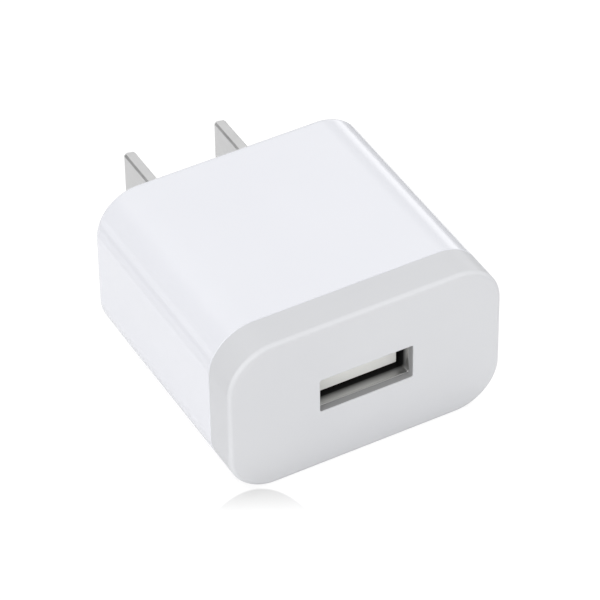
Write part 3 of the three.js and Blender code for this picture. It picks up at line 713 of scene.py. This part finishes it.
def rounded_line(points, radius):
    """A line in the YZ plane with each corner turned to an arc-like curve."""
    line = [points[0]]
    for before, corner, after in zip(points, points[1:], points[2:]):
        reach_in = min(radius, (corner - before).length * 0.45)
        reach_out = min(radius, (after - corner).length * 0.45)
        start = corner + (before - corner).normalized() * reach_in
        end = corner + (after - corner).normalized() * reach_out
        for step in range(BEND_STEPS + 1):
            t = step / BEND_STEPS
            line.append(start.lerp(corner, t).lerp(corner.lerp(end, t), t))
    line.append(points[-1])
    return line


def bent_strip(name, x, points, width, thickness, radius):
    """A strip of sheet metal bent along (y, z) points, with its edges broken."""
    line = rounded_line([Vector((0, y, z)) for y, z in points], radius)
    rings = []
    for i, point in enumerate(line):
        along = (line[min(i + 1, len(line) - 1)] - line[max(i - 1, 0)]).normalized()
        across = Vector((0, -along.z, along.y))
        ring = rounded_ring(width, thickness, STRIP_CHAMFER, 0, steps=1)
        rings.append([Vector((x + corner.x, 0, 0)) + point + across * corner.z for corner in ring])
    return lofted(name, rings)


sheet_middle = (shell_height - SHEET) / 2
for level, side in (("upper", 1), ("lower", -1)):
    for place, x in (("left", -FINGER_OFFSET), ("right", FINGER_OFFSET)):
        node = f"{level}_latch_{place}"
        reach = FINGER_REACH[level]
        heights = (0, reach, reach - FINGER_TIP_RELIEF)
        finger = bent_strip(
            f"{level}_finger_{place}", x,
            [(socket_y + y, PORT_HEIGHT + side * (sheet_middle - height))
             for y, height in zip((FINGER_ROOT, FINGER_CREST, FINGER_TIP), heights)],
            FINGER_WIDTH, FINGER_SHEET, FINGER_BEND)
        smoothed(finger)
        # The fingers take the shell's inside material, and so its painted shade.
        fitted(finger, node, [node], painted_shade_steel)

# ---------------- Socket insulator
# The white nylon block at the back of the socket, with the tongue that carries the contacts.
# Glass-filled nylon, moulded in one piece and pressed into the shell, with a groove for each contact.

BLOCK_FRONT = 9.8 * MM
BLOCK_FIT = 0.08 * MM
TONGUE_FRONT = 1.1 * MM
TONGUE_WIDTH = 11.1 * MM
TONGUE_BOTTOM = -1.93 * MM
TONGUE_TOP = -0.09 * MM
GROOVE_WIDTH = 1.4 * MM
GROOVE_SPAN = (1.5 * MM, 9.8 * MM)
GROOVE_FLOOR = -1.28 * MM
CHANNEL_HEIGHT = 0.7 * MM
CONTACTS = {"power": -3.5 * MM, "data_minus": -1 * MM, "data_plus": 1 * MM, "ground": 3.5 * MM}
CONTACT_ROOT = (9.7 * MM, -0.58 * MM)
MOULDED_EDGE = 0.09 * MM


def make_insulator():
    low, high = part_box("usb_insulator")
    half = TONGUE_WIDTH / 2
    corner = SHELL_BEND - BLOCK_FIT
    height = shell_height - 2 * SHEET - 2 * BLOCK_FIT
    rear = lofted("usb_insulator_moulding", [
        rounded_ring(high.x - low.x, height, corner, socket_y + BLOCK_FRONT, PORT_HEIGHT, steps=4),
        rounded_ring(high.x - low.x, height, corner, high.y, PORT_HEIGHT, steps=4),
    ])
    tongue = block(-half, half, socket_y + TONGUE_FRONT, socket_y + BLOCK_FRONT + MM,
                   PORT_HEIGHT + TONGUE_BOTTOM, PORT_HEIGHT + TONGUE_TOP)
    combined(rear, "UNION", [tongue])
    cuts = []
    for x in CONTACTS.values():
        sides = (x - GROOVE_WIDTH / 2, x + GROOVE_WIDTH / 2)
        channel_z = PORT_HEIGHT + CONTACT_ROOT[1] - CHANNEL_HEIGHT / 2
        cuts.append(block(*sides, socket_y + GROOVE_SPAN[0], socket_y + GROOVE_SPAN[1],
                          PORT_HEIGHT + GROOVE_FLOOR, PORT_HEIGHT + TONGUE_TOP + MM))
        cuts.append(block(*sides, socket_y + CONTACT_ROOT[0], high.y + MM,
                          channel_z, channel_z + CHANNEL_HEIGHT))
    combined(rear, "DIFFERENCE", cuts)
    edges_broken(rear, MOULDED_EDGE, 3)
    return rear


insulator_nylon = plastic(
    "white_nylon", shades=((0.84, 0.84, 0.81), (0.88, 0.88, 0.86)),
    roughness=(0.38, 0.5), grain=7000, depth=0.004 * MM)
insulator = make_insulator()
smoothed(insulator, 60)
fitted(insulator, "case", ["usb_insulator"], insulator_nylon)

# ---------------- Socket contacts
# Four strips of gold-flashed phosphor bronze, from the spring on the tongue to the pin soldered in the board.
# Each is one bent strip: the front part gives way to a plug, and the rest is fixed in the nylon block.

CONTACT_WIDTH = 1 * MM
CONTACT_SHEET = 0.25 * MM
CONTACT_BEND = 0.4 * MM
CONTACT_SPRING = [(2.1, -0.38), (2.9, 0.15), (3.5, 0.3), (4.1, 0.23), (7.9, -0.53), (9.7, -0.58)]
CONTACT_TAIL_Y = 12.4

contact_gold = plated(
    "gold_flash", shades=((0.72, 0.50, 0.20), (0.80, 0.58, 0.26)),
    roughness=(0.2, 0.3), lines=4000, depth=0.002 * MM)
for name, x in CONTACTS.items():
    terminal = f"contact_terminal_{name}"
    spring = f"contact_spring_{name}"
    tail_top = (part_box(terminal)[1].z - PORT_HEIGHT) / MM
    route = CONTACT_SPRING + [(CONTACT_TAIL_Y, CONTACT_SPRING[-1][1]), (CONTACT_TAIL_Y, tail_top)]
    contact = bent_strip(
        f"contact_{name}", x, [(socket_y + y * MM, PORT_HEIGHT + z * MM) for y, z in route],
        CONTACT_WIDTH, CONTACT_SHEET, CONTACT_BEND)
    contact.data.materials.append(contact_gold)
    contact.data.shade_smooth()
    contact.data.set_sharp_from_angle(angle=math.radians(30))
    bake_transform(contact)
    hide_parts(spring, terminal)

# ---------------- Circuit board
# The one board that carries every part: 1.2 mm glass-epoxy laminate with green solder mask over its tracks.
# It slides along the sleeve's rails, and every lead passes through a drilled hole.

TRACK_GREEN = (0.03, 0.24, 0.09)
TRACK_SCALE = 420
WELD_REACH = 0.001 * MM

board_low, board_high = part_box("main_board")


def dress(node, material, edge):
    """A CAD node keeps its shape and place. It takes a material, and its sharp edges are broken."""
    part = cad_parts[node]
    part.data.materials.clear()
    part.data.materials.append(material)
    weld = part.modifiers.new("weld", "WELD")
    weld.merge_threshold = WELD_REACH
    edges_broken(part, edge, 2)


def make_solder_mask():
    """Green mask over copper: the tracks show as a paler green."""
    material = plastic("green_solder_mask", shades=((0.012, 0.13, 0.05), (0.016, 0.16, 0.06)),
                       roughness=(0.28, 0.4), grain=6000, depth=0.003 * MM)
    tree = material.node_tree
    cells = tree.nodes.new("ShaderNodeTexVoronoi")
    cells.distance = "CHEBYCHEV"
    cells.feature = "F1"
    cells.inputs["Scale"].default_value = TRACK_SCALE
    tree.links.new(object_place(tree), cells.inputs["Vector"])
    copper = ranged(tree, cells.outputs["Distance"], NOISE_SPAN)
    recoloured(tree, copper, TRACK_GREEN)
    return material


solder_mask = make_solder_mask()
dress("main_board", solder_mask, 0.04 * MM)

# ---------------- Transformer
# Two ferrite halves clipped through a phenolic bobbin and held by yellow polyester tape.
# The bobbin carries enamelled copper wire, and its pins are soldered in the board.

WIRE = 0.3 * MM
WIRE_POINTS = 6
WINDING_CORNER = 1.6 * MM
WINDING_HOLE = 0.2 * MM
WINDING_WALL_X = 2.35 * MM
WINDING_WALL_Z = 3.95 * MM
PIN_START = 0.25 * MM
PIN_FADE = 0.02 * MM
PIN_COLOUR = (0.62, 0.62, 0.61)

ferrite = plastic("sintered_ferrite", shades=((0.020, 0.020, 0.022), (0.045, 0.045, 0.048)),
    roughness=(0.55, 0.75), grain=3000, depth=0.02 * MM, strength=0.6)
phenolic = plastic("black_phenolic", shades=((0.012, 0.012, 0.013), (0.022, 0.022, 0.022)),
    roughness=(0.35, 0.5), grain=5000, depth=0.006 * MM)
enamelled_copper = plated("enamelled_copper", shades=((0.42, 0.13, 0.035), (0.58, 0.21, 0.07)),
    roughness=(0.2, 0.34), lines=3000, depth=0.002 * MM)
polyester_tape = plastic("yellow_polyester_tape", shades=((0.78, 0.52, 0.05), (0.84, 0.60, 0.09)),
    roughness=(0.22, 0.34), grain=2500, depth=0.01 * MM)


def tin_the_pins():
    """The bobbin's pins, above its rails, are tinned wire."""
    tree = phenolic.node_tree
    pin_start = board_low.z - PIN_START
    tin = ranged(tree, place_along(tree, "Z"), (pin_start - PIN_FADE, pin_start))
    recoloured(tree, tin, PIN_COLOUR)
    tree.links.new(tin, tree.nodes["Principled BSDF"].inputs["Metallic"])


def box_and_middle(node):
    low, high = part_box(node)
    return low, high, (low + high) / 2


def make_winding():
    low, high, middle = box_and_middle("transformer_winding")
    turns = round((high.y - low.y) / WIRE)
    rings = []
    for point in range(turns * WIRE_POINTS + 1):
        swell = abs(math.sin(math.pi * point / WIRE_POINTS))
        inset = WIRE / 2 * (1 - swell)
        y = low.y + (high.y - low.y) * point / (turns * WIRE_POINTS)
        rings.append(rounded_ring(high.x - low.x - 2 * inset, high.z - low.z - 2 * inset,
                                  WINDING_CORNER - inset, y, middle.z, steps=5))
    inner = [
        rounded_ring(2 * WINDING_WALL_X, 2 * WINDING_WALL_Z, WINDING_HOLE, y, middle.z, steps=5)
        for y in (high.y, low.y)
    ]
    rows = [[point + Vector((middle.x, 0, 0)) for point in ring] for ring in rings + inner]
    return lofted("copper_winding", rows, closed=True)


tin_the_pins()
winding = make_winding()
smoothed(winding, 50)
fitted(winding, "case", ["transformer_winding"], enamelled_copper)
dress("core_half_front", ferrite, 0.12 * MM)
dress("core_half_rear", ferrite, 0.12 * MM)
dress("transformer_bobbin", phenolic, 0.05 * MM)
dress("core_tape", polyester_tape, 0.02 * MM)

# ---------------- Capacitor cans
# Two mains capacitors in black shrink sleeve and two bare output cans, all aluminium electrolytics.
# Each can is drawn from sheet, crimped on a rubber bung, and scored with a cross that opens under pressure.

LEAD_RADIUS = 0.3 * MM
SOLDER_RADIUS = 0.75 * MM
SOLDER_HEIGHT = 0.45 * MM
SOLDER_STEP = 0.01 * MM
LEAD_SINK = 0.5 * MM
LEAD_TIP = 0.05 * MM
LEAD_STEPS = 16
CAN_PITCH = 2.5 * MM
CAN_STANDOFF = 0.2 * MM
CAN_RIM = 0.5 * MM
CAN_GROOVE_DROP = 1.5 * MM
CAN_GROOVE = 0.32 * MM
CAN_SCORE = 0.06 * MM
SCORE_REACH = 0.62
SCORE_FLOOR = 0.05 * MM
ROUND_STEPS = 40


def turned(name, centre, axis, profile, steps=ROUND_STEPS):
    """A round body about an axis through centre, from (radius, height) points. Its ends are flat."""
    axis = Vector(axis)
    side = axis.orthogonal().normalized()
    other = axis.cross(side)
    rings = []
    for radius, height in profile:
        turns = (2 * math.pi * step / steps for step in range(steps))
        rings.append([
            Vector(centre) + axis * height + (side * math.cos(turn) + other * math.sin(turn)) * radius
            for turn in turns
        ])
    return lofted(name, rings)


def soldered_lead(x, y, root_z, tip_z, radius=LEAD_RADIUS):
    """A round lead that rises through the board to its solder cone."""
    top = board_high.z
    return turned("lead", (x, y, 0), (0, 0, 1), [
        (radius, root_z), (radius, top), (SOLDER_RADIUS, top + SOLDER_STEP),
        (radius * 1.3, top + SOLDER_HEIGHT), (radius, top + SOLDER_HEIGHT + LEAD_TIP),
        (radius, tip_z - LEAD_TIP), (radius * 0.7, tip_z)], steps=LEAD_STEPS)


def lead_pair(middle, pitch, root_z, tip_z, along_board):
    """Two leads a pitch apart, set along the case or across it."""
    step = Vector((0, pitch / 2, 0)) if along_board else Vector((pitch / 2, 0, 0))
    spots = (middle - step, middle + step)
    return [(soldered_lead(spot.x, spot.y, root_z, tip_z), tinned_lead) for spot in spots]


def merged(name, parts):
    """One piece of several closed bodies, each with its own material."""
    materials = []
    mesh = bmesh.new()
    for part, material in parts:
        if material not in materials:
            materials.append(material)
        start = len(mesh.faces)
        mesh.from_mesh(part.data)
        mesh.faces.ensure_lookup_table()
        for face in mesh.faces[start:]:
            face.material_index = materials.index(material)
        bpy.data.objects.remove(part)
    piece = to_object(name, mesh)
    for material in materials:
        piece.data.materials.append(material)
    return piece


tinned_lead = plated("tinned_lead", shades=((0.58, 0.58, 0.57), (0.66, 0.66, 0.65)),
    roughness=(0.25, 0.38), lines=3000, depth=0.002 * MM)
shrink_sleeve = plastic("black_shrink_sleeve", shades=((0.010, 0.011, 0.014), (0.018, 0.019, 0.024)),
    roughness=(0.2, 0.3), grain=2500, depth=0.006 * MM)
drawn_aluminium = plated("drawn_aluminium", shades=((0.66, 0.67, 0.68), (0.74, 0.75, 0.76)),
    roughness=(0.24, 0.38), lines=3500, depth=0.003 * MM)


def make_can(node, skin, along_board):
    low, high, middle = box_and_middle(node)
    radius = (high.x - low.x) / 2
    top = board_low.z - CAN_STANDOFF
    groove = top - CAN_GROOVE_DROP
    rim = CAN_RIM
    body = turned(node, (middle.x, middle.y, 0), (0, 0, 1), [
        (radius - rim, top), (radius - 0.3 * rim, top - 0.1 * rim), (radius, top - 0.5 * rim),
        (radius, groove + 1.4 * CAN_GROOVE), (radius - 0.35 * CAN_GROOVE, groove + 0.9 * CAN_GROOVE),
        (radius - CAN_GROOVE, groove + 0.3 * CAN_GROOVE), (radius - CAN_GROOVE, groove - 0.3 * CAN_GROOVE),
        (radius - 0.35 * CAN_GROOVE, groove - 0.9 * CAN_GROOVE), (radius, groove - 1.4 * CAN_GROOVE),
        (radius, low.z + rim), (radius - 0.15 * rim, low.z + 0.45 * rim),
        (radius - 0.45 * rim, low.z + 0.15 * rim),
        (radius - rim, low.z), (radius - 1.3 * rim, low.z), (radius - 1.4 * rim, low.z + 0.1 * rim)])
    reach = radius * SCORE_REACH
    half = CAN_SCORE
    floor = low.z + SCORE_FLOOR
    scores = [
        block(middle.x - reach, middle.x + reach, middle.y - half, middle.y + half, low.z - MM, floor + half),
        block(middle.x - half, middle.x + half, middle.y - reach, middle.y + reach, low.z - MM, floor + half),
    ]
    combined(body, "DIFFERENCE", scores)
    parts = [(body, skin)] + lead_pair(middle, CAN_PITCH, top - LEAD_SINK, high.z, along_board)
    return merged(f"{node}_can", parts)


for node, skin, slot, along_board in (
        ("input_capacitor_1", shrink_sleeve, "can_sleeve", False),
        ("input_capacitor_2", shrink_sleeve, "can_sleeve", False),
        ("output_capacitor_1", drawn_aluminium, "can_aluminium", True),
        ("output_capacitor_2", drawn_aluminium, "can_aluminium", True)):
    can = make_can(node, skin, along_board)
    smoothed(can, 35)
    fitted(can, "case", [node])

# ---------------- Disc capacitor, fuse and inductor
# A blue lacquered ceramic disc across the barrier, a green lacquered fusible resistor lying on its leads,
# and a drum inductor under black shrink sleeve. All three are soldered by round leads.

DISC_THICKNESS = 2.6 * MM
DISC_PITCH = 5 * MM
DISC_SWELL = 6
DISC_FULLNESS = 0.6
DISC_FLAT = 0.45
FUSE_LENGTH = 6.2 * MM
FUSE_DIAMETER = 2.6 * MM
FUSE_PITCH = 8 * MM
FUSE_CAP = 1.1 * MM
FUSE_WAIST = 0.2 * MM
FUSE_END = 0.25 * MM
FUSE_ROUND = 0.1 * MM
FUSE_STEP = 0.4 * MM
DRUM_FLANGE = 1.1 * MM
DRUM_WAIST = 0.4 * MM
DRUM_PITCH = 2.5 * MM
DRUM_TOP_GAP = 0.3 * MM
DRUM_ROUND = 0.3 * MM
DRUM_EDGE = 0.25 * MM

blue_lacquer = plastic("blue_lacquer", shades=((0.02, 0.10, 0.34), (0.03, 0.13, 0.42)),
    roughness=(0.2, 0.32), grain=1500, depth=0.02 * MM)
green_lacquer = plastic("green_flameproof_lacquer", shades=((0.10, 0.25, 0.12), (0.14, 0.31, 0.15)),
    roughness=(0.42, 0.56), grain=2500, depth=0.02 * MM)


def make_disc():
    low, high, middle = box_and_middle("barrier_capacitor")
    radius = (high.x - low.x) / 2
    centre = (middle.x, middle.y, low.z + radius)
    profile = []
    for step in range(2 * DISC_SWELL + 1):
        turn = math.pi * (step / (2 * DISC_SWELL) - 0.5)
        swell = math.cos(turn) ** DISC_FULLNESS if step not in (0, 2 * DISC_SWELL) else 0
        profile.append((radius * (DISC_FLAT + (1 - DISC_FLAT) * swell), DISC_THICKNESS / 2 * math.sin(turn)))
    parts = [(turned("disc", centre, (0, 1, 0), profile), blue_lacquer)]
    parts += lead_pair(middle, DISC_PITCH, centre[2], high.z, False)
    return merged("ceramic_disc", parts)


def make_fuse():
    low, high, middle = box_and_middle("fuse_resistor")
    axis_z = low.z + FUSE_DIAMETER / 2
    radius = FUSE_DIAMETER / 2
    half = FUSE_LENGTH / 2
    end = half - FUSE_END
    cap = half - FUSE_CAP
    waist = radius - FUSE_WAIST
    body = turned("fuse", (middle.x, middle.y, axis_z), (1, 0, 0), [
        (radius * 0.6, -half), (radius * 0.9, -end - FUSE_ROUND), (radius, -end + FUSE_ROUND), (radius, -cap),
        (waist, -cap + FUSE_STEP), (waist, cap - FUSE_STEP), (radius, cap), (radius, end - FUSE_ROUND),
        (radius * 0.9, end + FUSE_ROUND), (radius * 0.6, half)])
    wire = turned("wire", (middle.x, middle.y, axis_z), (1, 0, 0),
                  [(LEAD_RADIUS, -FUSE_PITCH / 2), (LEAD_RADIUS, FUSE_PITCH / 2)], steps=LEAD_STEPS)
    parts = [(body, green_lacquer), (wire, tinned_lead)]
    parts += lead_pair(middle, FUSE_PITCH, axis_z - LEAD_RADIUS, high.z, False)
    return merged("fusible_resistor", parts)


def make_drum():
    low, high, middle = box_and_middle("filter_inductor")
    radius = (high.x - low.x) / 2
    top = board_low.z - DRUM_TOP_GAP
    waist = radius - DRUM_WAIST
    body = turned("drum", (middle.x, middle.y, 0), (0, 0, 1), [
        (radius - DRUM_ROUND, top), (radius, top - DRUM_EDGE), (radius, top - DRUM_FLANGE),
        (waist, top - DRUM_FLANGE - DRUM_WAIST), (waist, low.z + DRUM_FLANGE + DRUM_WAIST),
        (radius, low.z + DRUM_FLANGE), (radius, low.z + DRUM_EDGE), (radius - DRUM_ROUND, low.z)])
    parts = [(body, shrink_sleeve)] + lead_pair(middle, DRUM_PITCH, top - LEAD_SINK, high.z, True)
    return merged("drum_inductor", parts)


for make, node, slot in (
        (make_disc, "barrier_capacitor", "disc_lacquer"),
        (make_fuse, "fuse_resistor", "fuse_lacquer"),
        (make_drum, "filter_inductor", "inductor_sleeve")):
    part = make()
    smoothed(part, 45)
    fitted(part, "case", [node])

# ---------------- Blade springs
# Two bowed strips of nickel-plated spring bronze that stand through the board.
# Each presses on the tail of one blade, so that the board needs no wires to the mains.

BLADE_SPRING_WIDTH = 3 * MM
BLADE_SPRING_SHEET = 0.3 * MM
BLADE_SPRING_BENDS = (-2.2 * MM, -3.1 * MM, -5.2 * MM)
BLADE_SPRING_RADIUS = 0.7 * MM

spring_nickel = plated("spring_nickel", shades=((0.56, 0.54, 0.49), (0.64, 0.62, 0.57)),
    roughness=(0.24, 0.36), lines=2800, depth=0.003 * MM)
for name, middle in zip(("blade_spring_left", "blade_spring_right"), blade_middles):
    low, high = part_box(name)
    straight_y = low.y + BLADE_SPRING_SHEET / 2
    bow_y = high.y - BLADE_SPRING_SHEET / 2
    bend, crest, heel = (board_low.z + drop for drop in BLADE_SPRING_BENDS)
    ends = ((straight_y, high.z), (straight_y, low.z))
    route = [ends[0], (straight_y, bend), (bow_y, crest), (straight_y, heel), ends[1]]
    strip = bent_strip(f"{name}_strip", middle, route,
                       BLADE_SPRING_WIDTH, BLADE_SPRING_SHEET, BLADE_SPRING_RADIUS)
    smoothed(strip)
    fitted(strip, "case", [name], spring_nickel)

# ---------------- Insulation barrier
# A stiff sheet of translucent white polyester film between the mains parts and the low-voltage parts.
# It is die-cut, and two tabs hold it in slots in the board.

barrier_film = plastic("polyester_film", shades=((0.74, 0.73, 0.67), (0.78, 0.77, 0.71)),
    roughness=(0.3, 0.42), grain=4000, depth=0.003 * MM)
dress("insulation_barrier", barrier_film, 0.03 * MM)

# ---------------- Chip packages
# Four black epoxy packages on the board's upper face: bridge rectifier, controller, output rectifier, diode.
# Each is moulded round a tinned copper lead frame, whose flat leads are bent down to the board.

PACKAGES = {
    "bridge_rectifier": {"body": (4.7, 3.9), "rows": 2, "pitch": 2.5, "lead": 0.7},
    "controller_chip": {"body": (4.9, 3.9), "rows": 4, "pitch": 1.27, "lead": 0.42},
    "output_rectifier": {"body": (3.6, 4.3), "rows": 1, "pitch": 0, "lead": 2},
    "snubber_diode": {"body": (2.6, 4.3), "rows": 1, "pitch": 0, "lead": 1.5},
}
LEAD_SHEET = 0.2 * MM
LEAD_BEND = 0.2 * MM
LEAD_ROOT = 0.3 * MM
LEAD_KNEE = 0.42 * MM
PACKAGE_LIFT = 0.15 * MM
PACKAGE_EDGE = 0.12 * MM

epoxy_resin = plastic("black_epoxy", shades=((0.012, 0.012, 0.013), (0.020, 0.020, 0.021)),
    roughness=(0.45, 0.6), grain=5000, depth=0.008 * MM)


def soft_block(low, high, edge):
    """A block between two corners with its edges broken."""
    middle = (low + high) / 2
    width, height = high.x - low.x, high.z - low.z
    rings = [
        [point + Vector((middle.x, 0, 0)) for point in rounded_ring(
            width - 2 * inset, height - 2 * inset, edge, y, middle.z, steps=1)]
        for inset, y in ((edge, low.y), (0, low.y + edge), (0, high.y - edge), (edge, high.y))
    ]
    return lofted("block", rings)


def make_package(node, body, rows, pitch, lead):
    low, high, middle = box_and_middle(node)
    width, depth = (side * MM for side in body)
    base = board_high.z
    resin = soft_block(Vector((middle.x - width / 2, middle.y - depth / 2, base + PACKAGE_LIFT)),
                       Vector((middle.x + width / 2, middle.y + depth / 2, high.z)), PACKAGE_EDGE)
    parts = [(resin, epoxy_resin)]
    shoulder = base + PACKAGE_LIFT + (high.z - base) * 0.4
    foot = base + LEAD_SHEET / 2
    reach = (high.y - low.y) / 2
    for row in range(rows):
        x = middle.x + (row - (rows - 1) / 2) * pitch * MM
        for side in (-1, 1):
            route = [(middle.y + side * y, z) for y, z in (
                (depth / 2 - LEAD_ROOT, shoulder), (depth / 2 + LEAD_ROOT, shoulder),
                (depth / 2 + LEAD_KNEE, foot), (reach, foot))]
            parts.append((bent_strip("lead", x, route, lead * MM, LEAD_SHEET, LEAD_BEND), tinned_lead))
    return merged(f"{node}_package", parts)


for node, sizes in PACKAGES.items():
    package = make_package(node, **sizes)
    smoothed(package)
    fitted(package, "case", [node])

# ---------------- Chip resistors and capacitors
# Five tiny surface-mounted parts: glazed black resistors and tan ceramic capacitors.
# Each is a fired ceramic block with a tinned cap at each end.

CHIP_END = 0.4 * MM
CHIP_SINK = 0.05 * MM
CHIP_EDGE = 0.04 * MM

chip_glaze = plastic("black_chip_glaze", shades=((0.015, 0.015, 0.018), (0.028, 0.028, 0.032)),
    roughness=(0.22, 0.35), grain=5000, depth=0.003 * MM)
chip_ceramic = plastic("tan_ceramic", shades=((0.34, 0.25, 0.15), (0.42, 0.32, 0.20)),
    roughness=(0.45, 0.6), grain=5000, depth=0.004 * MM)


def make_chip(node, material):
    low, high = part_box(node)
    sink = Vector((0, 0, CHIP_SINK))
    inner_low = Vector((low.x + CHIP_END, low.y, low.z)) + sink
    inner_high = Vector((high.x - CHIP_END, high.y, high.z)) - sink
    parts = [(soft_block(inner_low, inner_high, CHIP_EDGE), material)]
    parts.append((soft_block(low, Vector((inner_low.x, high.y, high.z)), CHIP_EDGE), tinned_lead))
    parts.append((soft_block(Vector((inner_high.x, low.y, low.z)), high, CHIP_EDGE), tinned_lead))
    return merged(f"{node}_body", parts)


for kind, count, material, slot in (
        ("chip_resistor", 3, chip_glaze, "chip_resistor"),
        ("chip_capacitor", 2, chip_ceramic, "chip_ceramic")):
    for number in range(1, count + 1):
        node = f"{kind}_{number}"
        chip = make_chip(node, material)
        smoothed(chip)
        fitted(chip, "case", [node])

# ---------------- Floor and light
# A white studio: a pure white sweep that the camera sees, and a matt white table that lights the charger
# from below. Grey and black flags lie on the table, and show only as soft dark lines in the glossy corners.
# The grey contact_shade sheet in front of the cap also darkens the foot of the socket face, standing in for
# the table's contact shadow.
# A faint grey arch in the sweep's glow below the nearest corner is a painted reflection.

SWEEP_RADIUS = 3
SWEEP_GLOW = 0.84
TABLE_WHITE = 0.93
FLAG_DEPTH = 0.02 * MM
TABLE_DEPTH = 0.05 * MM
# Each flag's span in x and then in y, in millimetres, and its grey.
FLAGS = {
    "left_flag": (-80, -50, -500, 500, 0.02),
    "left_far_flag": (-900, -80, -900, 900, 0.6),
    "left_near_flag": (-50, -31, -500, 500, 0.55),
    "right_flag": (46, 200, -500, 500, 0.22),
    "contact_shade": (-17, 17, -38, -33.4, 0.64),
}

floor_z = cad_bounds[0].z


def flat_sheet(name, outline, z, colour, roughness):
    """A flat sheet of the studio, which isn't part of the charger."""
    mesh = bmesh.new()
    mesh.faces.new([mesh.verts.new((x, y, 0)) for x, y in outline])
    sheet = to_object(name, mesh)
    sheet.location.z = z
    material, _, shader = new_material(name)
    shader.inputs["Base Color"].default_value = (colour, colour, colour, 1)
    shader.inputs["Roughness"].default_value = roughness
    sheet.data.materials.append(material)
    return sheet


studio_outline = [
    (SWEEP_RADIUS * math.cos(turn), SWEEP_RADIUS * math.sin(turn))
    for turn in (2 * math.pi * step / 64 for step in range(64))
]
# The painted reflection on the sweep below the nearest corner: its place, its axes, its arch, its soft edge,
# its length and its grey.
REFLECTION_AT = Vector((-14.62, -33.84, 0)) * MM
REFLECTION_AXES = (Vector((0.878, -0.478, 0)), Vector((-0.478, -0.878, 0)))
REFLECTION_CENTRE = 0.4 * MM
REFLECTION_ARCH = 0.13 / MM
REFLECTION_EDGE = (-0.1 * MM, 0.35 * MM)
REFLECTION_LENGTH = 4.6 * MM
REFLECTION_GREY = 0.65


def dotted(tree, direction, axis):
    measure = tree.nodes.new("ShaderNodeVectorMath")
    measure.operation = "DOT_PRODUCT"
    measure.inputs[1].default_value = axis
    tree.links.new(direction, measure.inputs[0])
    return measure.outputs["Value"]


def make_painted_reflection_group():
    """A painted reflection: a faint arch on the floor below the nearest corner, which fades away from the
    charger.
    """
    group, _, results = shader_group("corner_painted_reflection", {}, ("Mask",))
    offset = group.nodes.new("ShaderNodeVectorMath")
    offset.operation = "SUBTRACT"
    offset.inputs[1].default_value = REFLECTION_AT
    group.links.new(object_place(group), offset.inputs[0])
    aside, away = (dotted(group, offset.outputs["Vector"], along) for along in REFLECTION_AXES)
    squared = calculated(group, "POWER", calculated(group, "SUBTRACT", aside, REFLECTION_CENTRE), 2)
    arch = calculated(group, "MULTIPLY", squared, REFLECTION_ARCH)
    inside = ranged(group, calculated(group, "SUBTRACT", away, arch), REFLECTION_EDGE, smooth=True)
    fade = ranged(group, away, (0, REFLECTION_LENGTH), (1, 0))
    group.links.new(calculated(group, "MULTIPLY", inside, fade), results.inputs["Mask"])
    return group


sweep = flat_sheet("white_sweep", studio_outline, floor_z, 0.2, 0.1)
sweep_tree = sweep.data.materials[0].node_tree
sweep_shader = sweep_tree.nodes["Principled BSDF"]
reflection = placed(sweep_tree, make_painted_reflection_group())
# The arch greys the sweep's glow: a painted reflection.
sweep_tint = sweep_tree.nodes.new("ShaderNodeMix")
sweep_tint.data_type = "RGBA"
sweep_tint.inputs["A"].default_value = (1, 1, 1, 1)
sweep_tint.inputs["B"].default_value = (REFLECTION_GREY, REFLECTION_GREY, REFLECTION_GREY, 1)
sweep_tree.links.new(reflection.outputs["Mask"], sweep_tint.inputs["Factor"])
sweep_tree.links.new(sweep_tint.outputs["Result"], sweep_shader.inputs["Emission Color"])
sweep_shader.inputs["Emission Strength"].default_value = SWEEP_GLOW
sweep.visible_diffuse = False
sweep.visible_glossy = False
sweep.visible_shadow = False
table_sheet = flat_sheet("white_table", studio_outline, floor_z - TABLE_DEPTH, TABLE_WHITE, 0.7)
table_sheet.visible_camera = False
for name, (x0, x1, y0, y1, grey) in FLAGS.items():
    corners = [(x * MM, y * MM) for x, y in ((x0, y0), (x1, y0), (x1, y1), (x0, y1))]
    flag = flat_sheet(name, corners, floor_z - FLAG_DEPTH, grey, 0.9)
    flag.visible_camera = False
    flag.visible_diffuse = name == "contact_shade"
    flag.visible_shadow = False

TENT_LEVEL = 1.015
# Each side's direction, the span of its soft edge, and what it adds to the tent's level.
TENT_SIDES = {
    "dim_low_left": (Vector((-0.66, 0.66, 0.20)), (0.80, 1.0), -0.7),
    "dim_back_left": (Vector((-0.62, 0.45, 0.55)), (0.5, 1.0), -0.12),
    "dim_back": (Vector((0.54, 0.77, 0.34)), (0.955, 1.0), -0.55),
    "bright_back_right": (Vector((0.72, 0.69, 0.02)), (0.95, 0.995), 0.65),
    "bright_left": (Vector((-0.92, -0.36, 0.2)), (0.4, 1.0), 0.6),
    "bright_front": (Vector((-0.1, -0.8, 0.6)), (0.5, 1.0), 0.08),
}


def make_tent():
    """White all round for the camera. The light on the charger is soft, with a few brighter sides."""
    world = bpy.data.worlds.new("tent")
    world.use_nodes = True
    tree = world.node_tree
    background = tree.nodes["Background"]
    direction = tree.nodes.new("ShaderNodeTexCoord").outputs["Generated"]
    total = TENT_LEVEL
    for side, span, gain in TENT_SIDES.values():
        part = ranged(tree, dotted(tree, direction, side.normalized()), span, (0, gain), smooth=True)
        total = calculated(tree, "ADD", part, total)
    seen = tree.nodes.new("ShaderNodeMix")
    tree.links.new(tree.nodes.new("ShaderNodeLightPath").outputs["Is Camera Ray"], seen.inputs["Factor"])
    tree.links.new(total, seen.inputs["A"])
    seen.inputs["B"].default_value = TENT_LEVEL
    tree.links.new(seen.outputs["Result"], background.inputs["Strength"])
    background.inputs["Color"].default_value = (1, 1, 1, 1)
    return world


scene.world = make_tent()
scene.view_settings.view_transform = "Standard"
